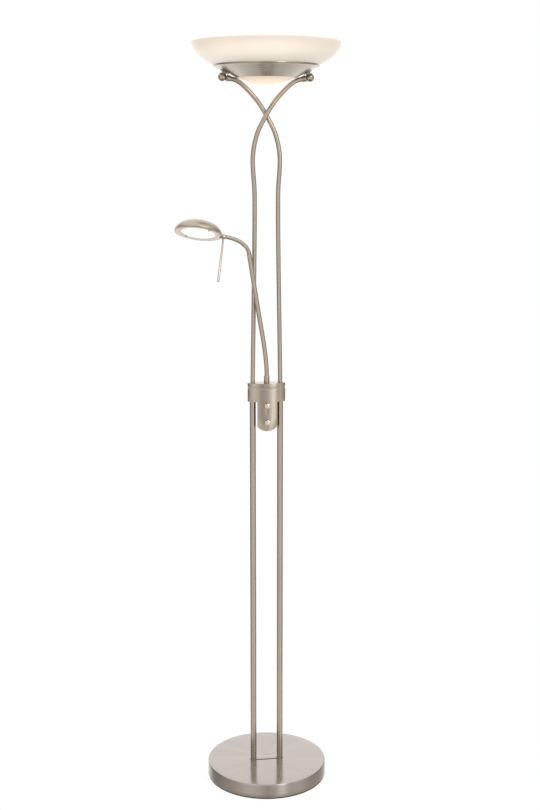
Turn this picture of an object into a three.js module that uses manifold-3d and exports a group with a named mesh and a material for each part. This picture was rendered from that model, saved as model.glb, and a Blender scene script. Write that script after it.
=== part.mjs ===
// A torchiere floor lamp with a reading light. Millimetres, +Z up, the knobs face -Y.
// The origin is the centre of the base's underside.
import * as THREE from "three";
import { mergeVertices } from "three/addons/utils/BufferGeometryUtils.js";
import Module from "manifold-3d";

const wasm = await Module();
wasm.setup();

// Driving dimensions of the whole lamp
const lampHeight = 1801;
const baseRadius = 148.5;
const baseHeight = 38;
const poleSpacing = 66.6;
const poleRadius = 7.5;
const upperTubeRadius = 5.5;
const housingTop = 1007.3;
const crossingDrop = 163.5; // from the lamp's top down to where the upper tubes cross
const bowlRadius = 172.6;
const ballSpacing = 203.8;
const armRadius = 5.5;
const armRise = 263.4; // from the reading arm's bend up to its flexible neck
const headRadius = 56;

// Clearances
const seat = 0.3; // between two pieces that rest on each other
const slip = 0.3; // round a piece that passes through another
const overrun = 2; // how far a cut runs past the face it opens
const weld = 0.001; // points closer than this are one point

// How finely round forms are divided
const wideSides = 48;
const turnedSides = 18;
const tubeSides = 10;
const boreSides = 6;
const arcSegments = 6;
const crownSteps = 4;
const bendSteps = 3;
const hexSides = 6;
const cornersPerFace = 3;

const up = new THREE.Vector3(0, 0, 1);
const radians = THREE.MathUtils.degToRad;
const square = 90; // degrees
const hands = [
  ["left", -1],
  ["right", 1],
];

const finish = (color, roughness, metalness) => ({ color, roughness, metalness });
const satinNickel = finish(0xb9b0a3, 0.35, 1);
const turnedNickel = finish(0xc9c1b9, 0.4, 1);
const chrome = finish(0xd8d6d2, 0.12, 1);
const plainSteel = finish(0x9a9a98, 0.5, 1);
const castIron = finish(0x3b3a38, 0.8, 0.6);
const spunAluminium = finish(0xd9dadb, 0.25, 1);
const opalGlass = finish(0xf1e4d3, 0.45, 0);
const clearGlass = finish(0xf6f1e8, 0.08, 0);
const blackPlastic = finish(0x26262a, 0.6, 0);
const leadSheath = finish(0xe6e3dc, 0.5, 0);
const ceramic = finish(0xeeeae0, 0.6, 0);
const silicone = finish(0xd9d4ca, 0.7, 0);
const padRubber = finish(0x2b2926, 0.95, 0);

// A closed geometry as a solid with its faces pointing out.
function solid(geometry) {
  const bare = geometry.index ? geometry.toNonIndexed() : geometry.clone();
  bare.deleteAttribute("normal");
  bare.deleteAttribute("uv");
  const merged = mergeVertices(bare, weld);
  const corners = [];
  for (let i = 0; i < merged.index.count; i += cornersPerFace) {
    const [a, b, c] = merged.index.array.slice(i, i + cornersPerFace);
    if (a !== b && b !== c && c !== a) corners.push([a, b, c]);
  }
  const vertProperties = merged.attributes.position.array;
  const numProp = merged.attributes.position.itemSize;
  const build = (triangles) =>
    new wasm.Manifold(
      new wasm.Mesh({ numProp, vertProperties, triVerts: new Uint32Array(triangles.flat()) }),
    );
  const made = build(corners);
  return made.volume() > 0 ? made : build(corners.map(([a, b, c]) => [a, c, b]));
}

// A finished solid as a named mesh of the lamp.
function piece(name, made, look, parent) {
  const { numProp, vertProperties, triVerts } = made.getMesh();
  const geometry = new THREE.BufferGeometry();
  geometry.setAttribute("position", new THREE.BufferAttribute(vertProperties.slice(), numProp));
  geometry.setIndex(new THREE.BufferAttribute(triVerts.slice(), 1));
  geometry.computeVertexNormals();
  const mesh = new THREE.Mesh(geometry, new THREE.MeshStandardMaterial(look));
  mesh.name = name;
  parent.add(mesh);
  return mesh;
}

// A piece turned about +Z, from [radius, height] pairs that start and end on the axis.
function turned(profile, sides = turnedSides) {
  const outline = profile.map(([radius, height]) => new THREE.Vector2(radius, height));
  return solid(new THREE.LatheGeometry(outline, sides).rotateX(Math.PI / 2));
}

// A turned ring, whose outline closes on itself.
const turnedRing = (profile, sides) => turned([...profile, profile[0]], sides);

// An upright round bar.
function bar(radius, bottom, top, sides = turnedSides) {
  const height = top - bottom;
  const geometry = new THREE.CylinderGeometry(radius, radius, height, sides).rotateX(Math.PI / 2);
  return solid(geometry.translate(0, 0, bottom + height / 2));
}

// A flat outline in X and Y, raised from one height to another.
function slab(outline, bottom, top, curveSegments = arcSegments) {
  const settings = { depth: top - bottom, bevelEnabled: false, curveSegments };
  return solid(new THREE.ExtrudeGeometry(outline, settings).translate(0, 0, bottom));
}

// A flat outline in X and Z, thickened along Y from front to back.
function facing(outline, front, back, curveSegments = arcSegments) {
  const settings = { depth: back - front, bevelEnabled: false, curveSegments };
  const geometry = new THREE.ExtrudeGeometry(outline, settings).rotateX(Math.PI / 2);
  return solid(geometry.translate(0, back, 0));
}

// An upright block between two corners.
function block([x0, y0, z0], [x1, y1, z1]) {
  const geometry = new THREE.BoxGeometry(x1 - x0, y1 - y0, z1 - z0);
  return solid(geometry.translate((x0 + x1) / 2, (y0 + y1) / 2, (z0 + z1) / 2));
}

// A tube, or a rod where the bore is zero, along a curve.
function tubeAlong(path, radius, bore, steps, sides = tubeSides) {
  const ring = (size, count) =>
    Array.from({ length: count }, (_, i) => {
      const turn = (2 * Math.PI * i) / count;
      return new THREE.Vector2(size * Math.cos(turn), size * Math.sin(turn));
    });
  const section = new THREE.Shape(ring(radius, sides));
  if (bore > 0) section.holes.push(new THREE.Path(ring(bore, boreSides)));
  return solid(new THREE.ExtrudeGeometry(section, { steps, extrudePath: path, bevelEnabled: false }));
}

const ellipse = (a, b) => new THREE.Shape().absellipse(0, 0, a, b, 0, 2 * Math.PI);

// A bar outline with round ends, whose end centres lie on X either side of the middle.
function stadium(halfSpacing, radius) {
  const outline = new THREE.Shape();
  outline.absarc(halfSpacing, 0, radius, -Math.PI / 2, Math.PI / 2);
  outline.absarc(-halfSpacing, 0, radius, Math.PI / 2, (3 * Math.PI) / 2);
  return outline.closePath();
}

// Points of an arc round a centre, from one angle to another in degrees.
function arcPoints([x, y], radius, from, to, steps) {
  return Array.from({ length: steps + 1 }, (_, i) => {
    const angle = radians(from + ((to - from) * i) / steps);
    return [x + radius * Math.cos(angle), y + radius * Math.sin(angle)];
  });
}

// A hexagon nut about +Z.
const hexNut = (acrossFlats, bore, bottom, top) =>
  bar(acrossFlats / 2 / Math.cos(Math.PI / hexSides), bottom, top, hexSides).subtract(
    bar(bore, bottom - overrun, top + overrun, tubeSides),
  );

// A group whose +Z points along a direction.
function aimed(direction, parent) {
  const group = new THREE.Group();
  group.quaternion.setFromUnitVectors(up, direction);
  parent.add(group);
  return group;
}

const lamp = new THREE.Group();
const poleX = poleSpacing / 2;
const ballX = ballSpacing / 2;
const crossingHeight = lampHeight - crossingDrop;
const sinOf = (angle) => Math.sin(radians(angle));
const cosOf = (angle) => Math.cos(radians(angle));

// Base: a foot pad, a cast weight with a boss for the poles, and a turned cover over both.
const padThickness = 2;
const padInset = 3;
const coverWall = 1.2;
const coverFillet = 3;
const coverFilletSteps = 4;
const weightThickness = 12;
const bossRadius = 22;
const nippleRadius = 5;
const nippleBore = 3.4;
const pocketRadius = 12;
const pocketRoof = 22;
const leadRadius = 2.6;
const channelWidth = 9;
const channelHeadroom = 2;
const inletHeight = 11;
const inletRadius = 5;
const notchWidth = 20;
const notchDepth = 24;

const weightBottom = padThickness + seat;
const weightRadius = baseRadius - coverWall - seat;
const coverCeiling = baseHeight - coverWall;

// The lead runs straight from the inlet at the back to the right pole.
const inletY = baseRadius - notchDepth / 2;
const channelLength = Math.hypot(poleX, inletY);
const channelTurn = Math.atan2(poleX, inletY);

function crossBar(radius, start, end) {
  const height = end - start;
  const geometry = new THREE.CylinderGeometry(radius, radius, height, turnedSides);
  return solid(geometry.translate(0, start + height / 2, 0));
}

const atBothPoles = (made) => made.translate(-poleX, 0, 0).add(made.translate(poleX, 0, 0));

piece(
  "base_foot_pad",
  bar(baseRadius - padInset, 0, padThickness, wideSides),
  padRubber,
  lamp,
);

function makeBaseCover() {
  const corner = [baseRadius - coverFillet, baseHeight - coverFillet];
  const bottom = padThickness + seat;
  const outside = arcPoints(corner, coverFillet, 90, 0, coverFilletSteps);
  const inside = arcPoints(corner, coverFillet - coverWall, 0, 90, coverFilletSteps / 2);
  const shell = turned(
    [
      [0, baseHeight],
      ...outside,
      [baseRadius, bottom],
      [baseRadius - coverWall, bottom],
      ...inside,
      [0, coverCeiling],
    ],
    wideSides,
  );
  const nippleHole = bar(nippleRadius + slip, coverCeiling - overrun, baseHeight + overrun, tubeSides);
  const inlet = crossBar(inletRadius, baseRadius - notchDepth, baseRadius + overrun);
  return shell.subtract(atBothPoles(nippleHole)).subtract(inlet.translate(0, 0, inletHeight));
}

function makeBaseWeight() {
  const disc = bar(weightRadius, weightBottom, weightBottom + weightThickness, wideSides);
  const boss = slab(stadium(poleX, bossRadius), weightBottom, coverCeiling - seat);
  const pocket = bar(pocketRadius, weightBottom - overrun, pocketRoof);
  const hole = bar(nippleRadius + slip, weightBottom, baseHeight, tubeSides);
  const channelTop = weightBottom + 2 * leadRadius + channelHeadroom;
  const channel = block(
    [-channelWidth / 2, 0, weightBottom - overrun],
    [channelWidth / 2, channelLength - inletRadius, channelTop],
  )
    .rotate([0, 0, THREE.MathUtils.radToDeg(channelTurn)])
    .translate(poleX, 0, 0);
  const notch = block(
    [-notchWidth / 2, baseRadius - notchDepth - overrun, weightBottom - overrun],
    [notchWidth / 2, baseRadius, weightBottom + weightThickness + overrun],
  );
  return disc
    .add(boss)
    .subtract(atBothPoles(pocket.add(hole)))
    .subtract(channel)
    .subtract(notch);
}

piece("base_cover", makeBaseCover(), turnedNickel, lamp);
piece("base_weight", makeBaseWeight(), castIron, lamp);

// Cable inlet: a grommet snapped into the cover's back. Its bore is open.
const grommetFlange = 2.5;
const grommetGap = 0.9;
const grommetLength = 4;
const grommetBore = 3;

function makeGrommet() {
  const flangeRadius = inletRadius + grommetFlange;
  const neck = inletRadius - slip;
  const inner = baseRadius - coverWall - grommetGap - grommetFlange;
  const outer = baseRadius + seat + grommetLength / 2;
  const sleeve = crossBar(neck, inner, outer)
    .add(crossBar(flangeRadius, baseRadius + seat, outer))
    .add(crossBar(neck + grommetFlange / 2, inner, inner + grommetFlange));
  return sleeve
    .subtract(crossBar(grommetBore, inner - overrun, outer + overrun))
    .translate(0, 0, inletHeight);
}

piece("cable_grommet", makeGrommet(), blackPlastic, lamp);

// The thin plate with round ends that the poles stand on.
const plateThickness = 1;
const plateReach = 2.6;
const plateBottom = baseHeight + seat;
const plateTop = plateBottom + plateThickness;

piece(
  "pole_foot_plate",
  slab(stadium(poleX, poleRadius + plateReach), plateBottom, plateTop).subtract(
    atBothPoles(bar(nippleRadius + slip, baseHeight, plateTop + overrun, tubeSides)),
  ),
  satinNickel,
  lamp,
);

// Lower poles, each with a threaded insert at its foot and a socket for the upper tube at its top.
const poleWall = 1.2;
const poleTopDrop = 22.3;
const insertLength = 20;
const socketDepth = 14;
const tubeSlip = 0.25;
const poleBottom = plateTop + seat;
const poleTop = housingTop - poleTopDrop;

function makeLowerPole() {
  const bore = poleRadius - poleWall;
  const footBore = nippleRadius + slip;
  const topBore = upperTubeRadius + tubeSlip;
  const socketFloor = poleTop - socketDepth;
  const ledge = upperTubeRadius - poleWall;
  return turnedRing([
    [footBore, poleBottom],
    [poleRadius, poleBottom],
    [poleRadius, poleTop],
    [topBore, poleTop],
    [topBore, socketFloor],
    [ledge, socketFloor],
    [ledge, socketFloor - poleWall],
    [bore, socketFloor - poleWall - socketDepth],
    [bore, poleBottom + insertLength + poleWall],
    [footBore, poleBottom + insertLength],
  ]);
}

const nippleBottom = 15;
const nutHeight = 5;
const nutAcross = 17;
const poleNutTop = pocketRoof - seat;

for (const [hand, side] of hands) {
  const pole = new THREE.Group();
  pole.position.x = side * poleX;
  lamp.add(pole);
  piece(`lower_pole_${hand}`, makeLowerPole(), satinNickel, pole);
  const nippleTop = poleBottom + insertLength - overrun;
  const nipple = bar(nippleRadius, nippleBottom, nippleTop, tubeSides).subtract(
    bar(nippleBore, nippleBottom - overrun, nippleTop + overrun, tubeSides),
  );
  piece(`pole_nipple_${hand}`, nipple, plainSteel, pole);
  const nut = hexNut(nutAcross, nippleRadius + slip, poleNutTop - nutHeight, poleNutTop);
  piece(`pole_nut_${hand}`, nut, plainSteel, pole);
}

// The supply lead: in through the grommet, along the channel and up the right pole.
const leadSides = 4;
const supplySteps = 36;
const leadBend = 6;
const leadDrop = 14;
const leadStraight = 3.5;
const leadSag = 0.75;

function makeSupplyLead() {
  const floor = weightBottom + leadRadius + channelHeadroom / 2;
  const start = channelLength + notchDepth / 2 - 2 * grommetFlange - coverWall;
  const drop = start - leadDrop;
  const side = [
    [start, inletHeight],
    [start - leadStraight, inletHeight - leadSag],
    [drop, floor],
    [(drop + leadBend) / 2, floor],
    ...arcPoints([leadBend, floor + leadBend], leadBend, -90, -180, bendSteps),
    [0, pocketRoof],
    [0, poleBottom + insertLength],
  ];
  const route = side.map(
    ([out, height]) =>
      new THREE.Vector3(poleX - out * Math.sin(channelTurn), out * Math.cos(channelTurn), height),
  );
  const path = new THREE.CatmullRomCurve3(route, false, "centripetal");
  const rise = bar(leadRadius, poleBottom, poleTop - 2 * socketDepth, leadSides);
  return tubeAlong(path, leadRadius, 0, supplySteps, leadSides).add(rise.translate(poleX, 0, 0));
}

piece("supply_lead", makeSupplyLead(), leadSheath, lamp);

// Control housing: an oval band with a tongue that hangs down in front, all one shell.
const housingHalfWidth = 46;
const housingHalfDepth = 18;
const housingWall = 1.5;
const bandHeight = 45.3;
const lidHeight = 13.6;
const tongueHalfWidth = 23.9;
const tongueArcRadius = 33;
const knobDrops = [53.3, 94.3];
const dimmerHalfHeight = 11;
const boxSlack = 3.5;
const tongueMargin = 6;
const knobNames = ["upper", "lower"];
const shaftHole = 4;
const ovalSegments = 16;

const housingSeam = housingTop - lidHeight;
const bandBottom = housingTop - bandHeight;
const knobHeights = knobDrops.map((drop) => housingTop - drop);
const boxBottom = knobHeights[1] - dimmerHalfHeight - boxSlack - housingWall;
const tongueBottom = boxBottom - tongueMargin;
const oval = (inset, bottom, top) =>
  slab(ellipse(housingHalfWidth - inset, housingHalfDepth - inset), bottom, top, ovalSegments);

function forwardBar(radius, front, back) {
  const height = back - front;
  const geometry = new THREE.CylinderGeometry(radius, radius, height, tubeSides);
  return solid(geometry.translate(0, front + height / 2, 0));
}

// A tongue outline in X and Z: straight sides and an arc below.
function tongueOutline(halfWidth, bottom, arcRadius, top) {
  const half = THREE.MathUtils.radToDeg(Math.asin(halfWidth / arcRadius));
  const arc = arcPoints([0, bottom + arcRadius], arcRadius, -square - half, half - square, tubeSides);
  const corners = [[halfWidth, top], [-halfWidth, top]];
  return new THREE.Shape([...arc, ...corners].map(([x, z]) => new THREE.Vector2(x, z)));
}

function makeHousing() {
  const inner = oval(housingWall, tongueBottom - overrun, housingTop);
  const band = oval(0, bandBottom, housingSeam);
  const frontOnly = facing(
    tongueOutline(tongueHalfWidth, tongueBottom, tongueArcRadius, bandBottom + overrun),
    -housingHalfDepth - overrun,
    0,
  );
  const tongue = oval(0, tongueBottom - overrun, bandBottom + overrun).intersect(frontOnly);
  let shell = band.add(tongue).subtract(inner);
  for (const height of knobHeights) {
    const hole = forwardBar(shaftHole, -housingHalfDepth - overrun, 0);
    shell = shell.subtract(hole.translate(0, 0, height));
  }
  return shell;
}

// The lid: a cap with one groove round it, and a lip that drops inside the band.
const grooveDepth = 0.7;
const grooveHeight = 0.9;
const lidRimHeight = 8.6;
const lidPlate = 1.6;
const lipDepth = 3;
const armHoleSlip = 0.3;
const armPivotY = -6;
const lidEdge = 0.6;

function makeLid() {
  const grooveTop = housingTop - lidRimHeight;
  const seamTop = housingSeam + grooveHeight;
  const cap = oval(0, grooveTop, housingTop - lidEdge)
    .add(oval(lidEdge, grooveTop, housingTop))
    .add(oval(grooveDepth, seamTop, grooveTop + lidEdge))
    .add(oval(0, seamTop, grooveTop - grooveHeight))
    .add(oval(housingWall + seat, housingSeam - lipDepth, grooveTop));
  const hollow = oval(2 * housingWall + seat, housingSeam - lipDepth - overrun, housingTop - lidPlate);
  const tubeHole = bar(upperTubeRadius + slip, housingSeam, housingTop + overrun, tubeSides);
  const armHole = bar(armRadius + armHoleSlip, housingSeam, housingTop + overrun, tubeSides);
  return cap
    .subtract(hollow)
    .subtract(atBothPoles(tubeHole))
    .subtract(armHole.translate(0, armPivotY, 0));
}

// The rear box behind the tongue holds the two dimmers. It opens upwards into the band.
const boxHalfWidth = 17;
const boxBack = 6;
const boxArcRadius = 24;
const boxTopDrop = 32.3;
const closingPlate = 1.5;
const closingInset = 0.6;

const boxTop = housingTop - boxTopDrop;

function makeDimmerBox() {
  const outline = tongueOutline(boxHalfWidth, boxBottom, boxArcRadius, boxTop);
  const pocket = tongueOutline(
    boxHalfWidth - housingWall,
    boxBottom + housingWall,
    boxArcRadius - housingWall,
    boxTop + overrun,
  );
  const front = -housingHalfDepth;
  return facing(outline, front, boxBack)
    .subtract(facing(pocket, front - overrun, boxBack - housingWall))
    .intersect(oval(housingWall + slip, boxBottom - overrun, housingTop));
}

function makeClosingPlate() {
  const bottom = bandBottom + closingInset;
  const top = bottom + closingPlate;
  const poleHole = bar(poleRadius + slip, bottom - overrun, top + overrun);
  const boxHole = block(
    [-boxHalfWidth - slip, -housingHalfDepth, bottom - overrun],
    [boxHalfWidth + slip, boxBack + slip, top + overrun],
  );
  return oval(housingWall + slip, bottom, top).subtract(atBothPoles(poleHole)).subtract(boxHole);
}

piece("control_housing", makeHousing(), satinNickel, lamp);
piece("housing_lid", makeLid(), satinNickel, lamp);
piece("dimmer_box", makeDimmerBox(), blackPlastic, lamp);
piece("housing_closing_plate", makeClosingPlate(), plainSteel, lamp);

// Rotary dimmers: a body with a bushing that reaches through the housing, and a fluted knob on its shaft.
const dimmerHalfWidth = 11;
const dimmerFront = -13;
const dimmerBack = 1;
const bushingRadius = 3.7;
const shaftRadius = 2.6;
const shaftSlip = 0.3;
const shaftReach = 8;
const knobRadius = 7.5;
const knobLength = 12;
const knobCrown = 2.4;
const knobFlutes = 8;
const fluteRadius = 1.7;
const fluteDepth = 1;
const knobStandoff = 0.7;

function makeDimmer() {
  const nose = -housingHalfDepth;
  const body = block(
    [-dimmerHalfWidth, dimmerFront, -dimmerHalfHeight],
    [dimmerHalfWidth, dimmerBack, dimmerHalfHeight],
  );
  return body
    .add(forwardBar(bushingRadius, nose, dimmerFront + overrun))
    .subtract(forwardBar(shaftRadius + shaftSlip, nose - overrun, nose + shaftReach + shaftSlip));
}

function makeKnob() {
  const skirt = knobLength - knobCrown;
  const crown = arcPoints([0, 0], 1, 0, 90, crownSteps).map(([across, along]) => [
    knobRadius * across,
    skirt + knobCrown * along,
  ]);
  const cap = turned([[0, 0], [knobRadius, 0], ...crown]);
  const flute = bar(fluteRadius, knobStandoff, knobLength + overrun, tubeSides);
  let made = cap.add(bar(shaftRadius, -knobStandoff - shaftReach, knobStandoff, tubeSides));
  for (let i = 0; i < knobFlutes; i += 1) {
    const turn = (2 * Math.PI * (i + 1 / 2)) / knobFlutes;
    const out = knobRadius + fluteRadius - fluteDepth;
    made = made.subtract(flute.translate(out * Math.cos(turn), out * Math.sin(turn), 0));
  }
  return made;
}

const forward = new THREE.Vector3(0, -1, 0);
knobHeights.forEach((height, i) => {
  const dimmer = piece(`dimmer_${knobNames[i]}`, makeDimmer(), blackPlastic, lamp);
  dimmer.position.z = height;
  const spindle = aimed(forward, lamp);
  spindle.position.set(0, -housingHalfDepth - knobStandoff, height);
  piece(`knob_${knobNames[i]}`, makeKnob(), chrome, spindle);
});

// The glass bowl's outside: three arcs that meet smoothly, the dome, the flank over the dish and
// the rim. Angles are in degrees from level. The bowl hangs down from the lamp's height.
const domeShare = 0.84;
const flankShare = 5.162;
const domeAngle = 24.5;
const flankAngle = 30.5;
const rimAngle = 74.83;
const domeSteps = 3;
const flankSteps = 2;
const rimSteps = 4;
const glassWall = 4;

const domeRadius = domeShare * bowlRadius;
const flankRadius = flankShare * bowlRadius;
const flankStart = domeRadius * sinOf(domeAngle);
const flankEnd = flankStart + flankRadius * (sinOf(flankAngle) - sinOf(domeAngle));
const rimArcRadius = (bowlRadius - flankEnd) / (sinOf(rimAngle) - sinOf(flankAngle));
const bowlDepth =
  domeRadius * (1 - cosOf(domeAngle)) +
  flankRadius * (cosOf(domeAngle) - cosOf(flankAngle)) +
  rimArcRadius * (cosOf(flankAngle) - cosOf(rimAngle));
const bowlBottom = lampHeight - bowlDepth - glassWall * cosOf(rimAngle);

// The height of the bowl's outside on its flank, at a distance from the middle.
function glassHeightAt(radius) {
  const sine = (radius - flankStart) / flankRadius + sinOf(domeAngle);
  const rise = cosOf(domeAngle) - Math.sqrt(1 - sine ** 2);
  return bowlBottom + domeRadius * (1 - cosOf(domeAngle)) + flankRadius * rise;
}

// The cone of the dish under the flank, and the balls that hang square below it.
const dishHoleShare = 0.4;
const dishLipShare = 0.714;
const dishAngle = 25.5;
const dishWall = 1.2;
const dishSeat = 3.65;
const studLength = 13;

const dishHole = dishHoleShare * bowlRadius;
const dishLip = dishLipShare * bowlRadius;
const dishLipHeight = glassHeightAt(dishLip) - dishSeat;
const coneSin = sinOf(dishAngle);
const coneCos = cosOf(dishAngle);
const dishHeightAt = (radius) => dishLipHeight - ((dishLip - radius) * coneSin) / coneCos;
const studRadius = ballX - studLength * coneSin;
const studFoot = dishHeightAt(studRadius);
const studAxis = (side) => new THREE.Vector3(-side * coneSin, 0, coneCos);
const ballHeight = studFoot - studLength * coneCos;

// Upper tubes: they lean in, swell out, cross with one in front, and run out to the ball joints.
// Each row is a share of the height and a share of the spacing, first up to the crossing, then on.
const shoulderShares = [
  [0, 1],
  [0.2, 0.945],
  [0.5, 0.857],
  [0.65, 0.832],
  [0.73, 0.845],
  [0.8, 0.94],
  [0.84, 0.962],
  [0.875, 0.905],
  [0.91, 0.77],
  [0.945, 0.55],
  [1, 0],
];
const yokeShares = [
  [0.28, 0.145],
  [0.494, 0.289],
  [0.708, 0.461],
  [0.87, 0.625],
];
const crossingGap = 1.2;
const crossingRiseBelow = 150;
const crossingRiseAbove = 66;
const ballRadius = 10;
const approachTilt = 12;
const ferruleLength = 9;
const upperTubeWall = 1.2;
const upperTubeSteps = 34;

const approach = (side) =>
  new THREE.Vector3(side * Math.cos(radians(approachTilt)), 0, Math.sin(radians(approachTilt)));

// How far a tube is moved to the front or back at a height, greatest at the crossing.
function crossingShift(height) {
  const away = height - crossingHeight;
  const reach = away < 0 ? crossingRiseBelow : crossingRiseAbove;
  const near = Math.max(0, 1 - Math.abs(away) / reach);
  return (upperTubeRadius + crossingGap / 2) * Math.sin((near * Math.PI) / 2) ** 2;
}

// The centre line of the tube that starts on one side. The left one passes in front.
function upperTubePath(side) {
  const points = [new THREE.Vector3(side * poleX, 0, poleTop - socketDepth + seat)];
  const place = (x, z) => points.push(new THREE.Vector3(x, side * crossingShift(z), z));
  for (const [rise, spread] of shoulderShares) {
    const height = housingTop + rise * (crossingHeight - housingTop);
    place(side * spread * poleX, height);
  }
  for (const [rise, spread] of yokeShares) {
    const height = crossingHeight + rise * (ballHeight - crossingHeight);
    place(-side * spread * ballX, height);
  }
  const ball = new THREE.Vector3(-side * ballX, 0, ballHeight);
  for (const back of [2 * ferruleLength + ballRadius, ferruleLength + ballRadius, ballRadius + seat]) {
    points.push(ball.clone().addScaledVector(approach(-side), -back));
  }
  return new THREE.CatmullRomCurve3(points, false, "centripetal");
}

for (const [hand, side] of hands) {
  const made = tubeAlong(
    upperTubePath(side),
    upperTubeRadius,
    upperTubeRadius - upperTubeWall,
    upperTubeSteps,
  );
  piece(`upper_tube_${hand}`, made, satinNickel, lamp);
}

const uplightLeadRadius = 2;
const uplightLead = tubeAlong(upperTubePath(1), uplightLeadRadius, 0, upperTubeSteps, leadSides);
piece("uplight_lead", uplightLead, leadSheath, lamp);

// Cradle dish: a spun cone, open in the middle, with a short upright lip.
const lipRise = 1.4;

// A bore square to the cone on both sides, from the ball outwards.
function studBores(radius, start, end) {
  const bores = hands.map(([, side]) => {
    const geometry = new THREE.CylinderGeometry(radius, radius, end - start, tubeSides);
    geometry.rotateX(Math.PI / 2).translate(0, 0, (start + end) / 2 - studLength);
    const turn = new THREE.Quaternion().setFromUnitVectors(up, studAxis(side));
    geometry.applyQuaternion(turn).translate(side * studRadius, 0, studFoot);
    return solid(geometry);
  });
  return bores[0].add(bores[1]);
}

const bowlNippleRadius = 5;
const glassHoleSlip = 0.8;
const boreReach = 12;
const dishBoreReach = 3;

function makeDish() {
  const skin = dishWall / coneCos;
  const holeHeight = dishHeightAt(dishHole);
  return turnedRing(
    [
      [dishHole, holeHeight],
      [dishLip, dishLipHeight],
      [dishLip, dishLipHeight + lipRise],
      [dishLip - dishWall, dishLipHeight + lipRise],
      [dishLip - dishWall, dishHeightAt(dishLip - dishWall) + skin],
      [dishHole, holeHeight + skin],
    ],
    wideSides,
  ).subtract(studBores(bowlNippleRadius + slip, studLength - dishBoreReach, studLength + dishBoreReach));
}

function bowlOutline(inset) {
  const runs = [
    [domeRadius, 0, domeAngle, domeSteps],
    [flankRadius, domeAngle, flankAngle, flankSteps],
    [rimArcRadius, flankAngle, rimAngle, rimSteps],
  ];
  const points = [[0, bowlBottom + inset]];
  let [x, z] = [0, bowlBottom];
  for (const [radius, from, to, steps] of runs) {
    const centre = [x - radius * Math.sin(radians(from)), z + radius * Math.cos(radians(from))];
    points.push(...arcPoints(centre, radius - inset, from - square, to - square, steps).slice(1));
    [x, z] = arcPoints(centre, radius, to - square, to - square, 1)[0];
  }
  return points;
}

function makeBowl() {
  const outside = bowlOutline(0);
  const inside = bowlOutline(glassWall);
  return turned([...outside, ...inside.reverse()], wideSides).subtract(
    studBores(bowlNippleRadius + glassHoleSlip, studLength, studLength + boreReach),
  );
}

piece("cradle_dish", makeDish(), satinNickel, lamp);
piece("glass_bowl", makeBowl(), opalGlass, lamp);

// Ball joints: a ball on a ferrule at the tube's end, a flared neck under the dish, and a hollow
// nipple that runs through dish and glass to a washer, the lamp bracket and a nut.
const flangeRadius = 11;
const flangeEdge = 1.2;
const neckRadius = 6.2;
const ferruleRadius = 8;
const ferruleWaist = 7.2;
const ferruleEnd = 6.4;
const ferruleDisc = 1.6;
const ferruleSlip = 0.6;
const nippleReach = 4.4;
const bowlNippleBore = 3;
const washerRadius = 9.5;
const washerThickness = 2;
const washerSeat = 0.7;
const strapThickness = 1.5;
const strapWidth = 20;
const bowlNutHeight = 4;
const bowlNutAcross = 15;
const nippleProud = 1.5;

// How far the glass lies above the dish's outside along the stud axis.
const glassLift = (glassHeightAt(studRadius) - studFoot) * coneCos;
const glassInside = studLength + glassLift + glassWall;
const washerBottom = glassInside + washerSeat;
const strapBottom = washerBottom + washerThickness + seat;
const bowlNutBottom = strapBottom + strapThickness + seat;
const bowlNippleTop = bowlNutBottom + bowlNutHeight + nippleProud;

const ballHoles = bar(bowlNippleRadius + slip, nippleReach - slip, 2 * ballRadius, tubeSides);

for (const [hand, side] of hands) {
  const joint = new THREE.Group();
  joint.position.set(side * ballX, 0, ballHeight);
  lamp.add(joint);

  const stud = aimed(studAxis(side), joint);
  const toTube = approach(side).negate();
  const arm = aimed(toTube, joint);

  const sphere = solid(new THREE.SphereGeometry(ballRadius, turnedSides, tubeSides));
  piece(`ball_joint_${hand}`, sphere.subtract(ballHoles), satinNickel, stud);

  const neckTop = studLength - seat;
  const neckFlange = turnedRing([
    [bowlNippleRadius + slip, ballRadius + seat],
    [neckRadius, ballRadius + seat],
    [neckRadius, neckTop - 2 * flangeEdge],
    [flangeRadius, neckTop - flangeEdge],
    [flangeRadius, neckTop],
    [bowlNippleRadius + slip, neckTop],
  ]);
  piece(`neck_flange_${hand}`, neckFlange, satinNickel, stud);

  const ferruleBore = upperTubeRadius + ferruleSlip;
  const ferruleStart = ballRadius + seat;
  const ferrule = turnedRing([
    [ferruleBore, ferruleStart],
    [ferruleWaist, ferruleStart],
    [ferruleRadius, ferruleStart + ferruleDisc / 2],
    [ferruleRadius, ferruleStart + ferruleDisc],
    [ferruleWaist, ferruleStart + 2 * ferruleDisc],
    [ferruleEnd, ferruleStart + ferruleLength],
    [ferruleBore, ferruleStart + ferruleLength],
  ]);
  piece(`tube_ferrule_${hand}`, ferrule, satinNickel, arm);

  const nipple = bar(bowlNippleRadius, nippleReach, bowlNippleTop, tubeSides).subtract(
    bar(bowlNippleBore, nippleReach - overrun, bowlNippleTop + overrun, tubeSides),
  );
  piece(`bowl_nipple_${hand}`, nipple, plainSteel, stud);

  const washer = turnedRing([
    [bowlNippleRadius + slip, washerBottom],
    [washerRadius, washerBottom],
    [washerRadius, washerBottom + washerThickness],
    [bowlNippleRadius + slip, washerBottom + washerThickness],
  ]);
  piece(`glass_washer_${hand}`, washer, silicone, stud);

  const nutTop = bowlNutBottom + bowlNutHeight;
  const nut = hexNut(bowlNutAcross, bowlNippleRadius + slip, bowlNutBottom, nutTop);
  piece(`bowl_nut_${hand}`, nut, plainSteel, stud);
}

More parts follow.
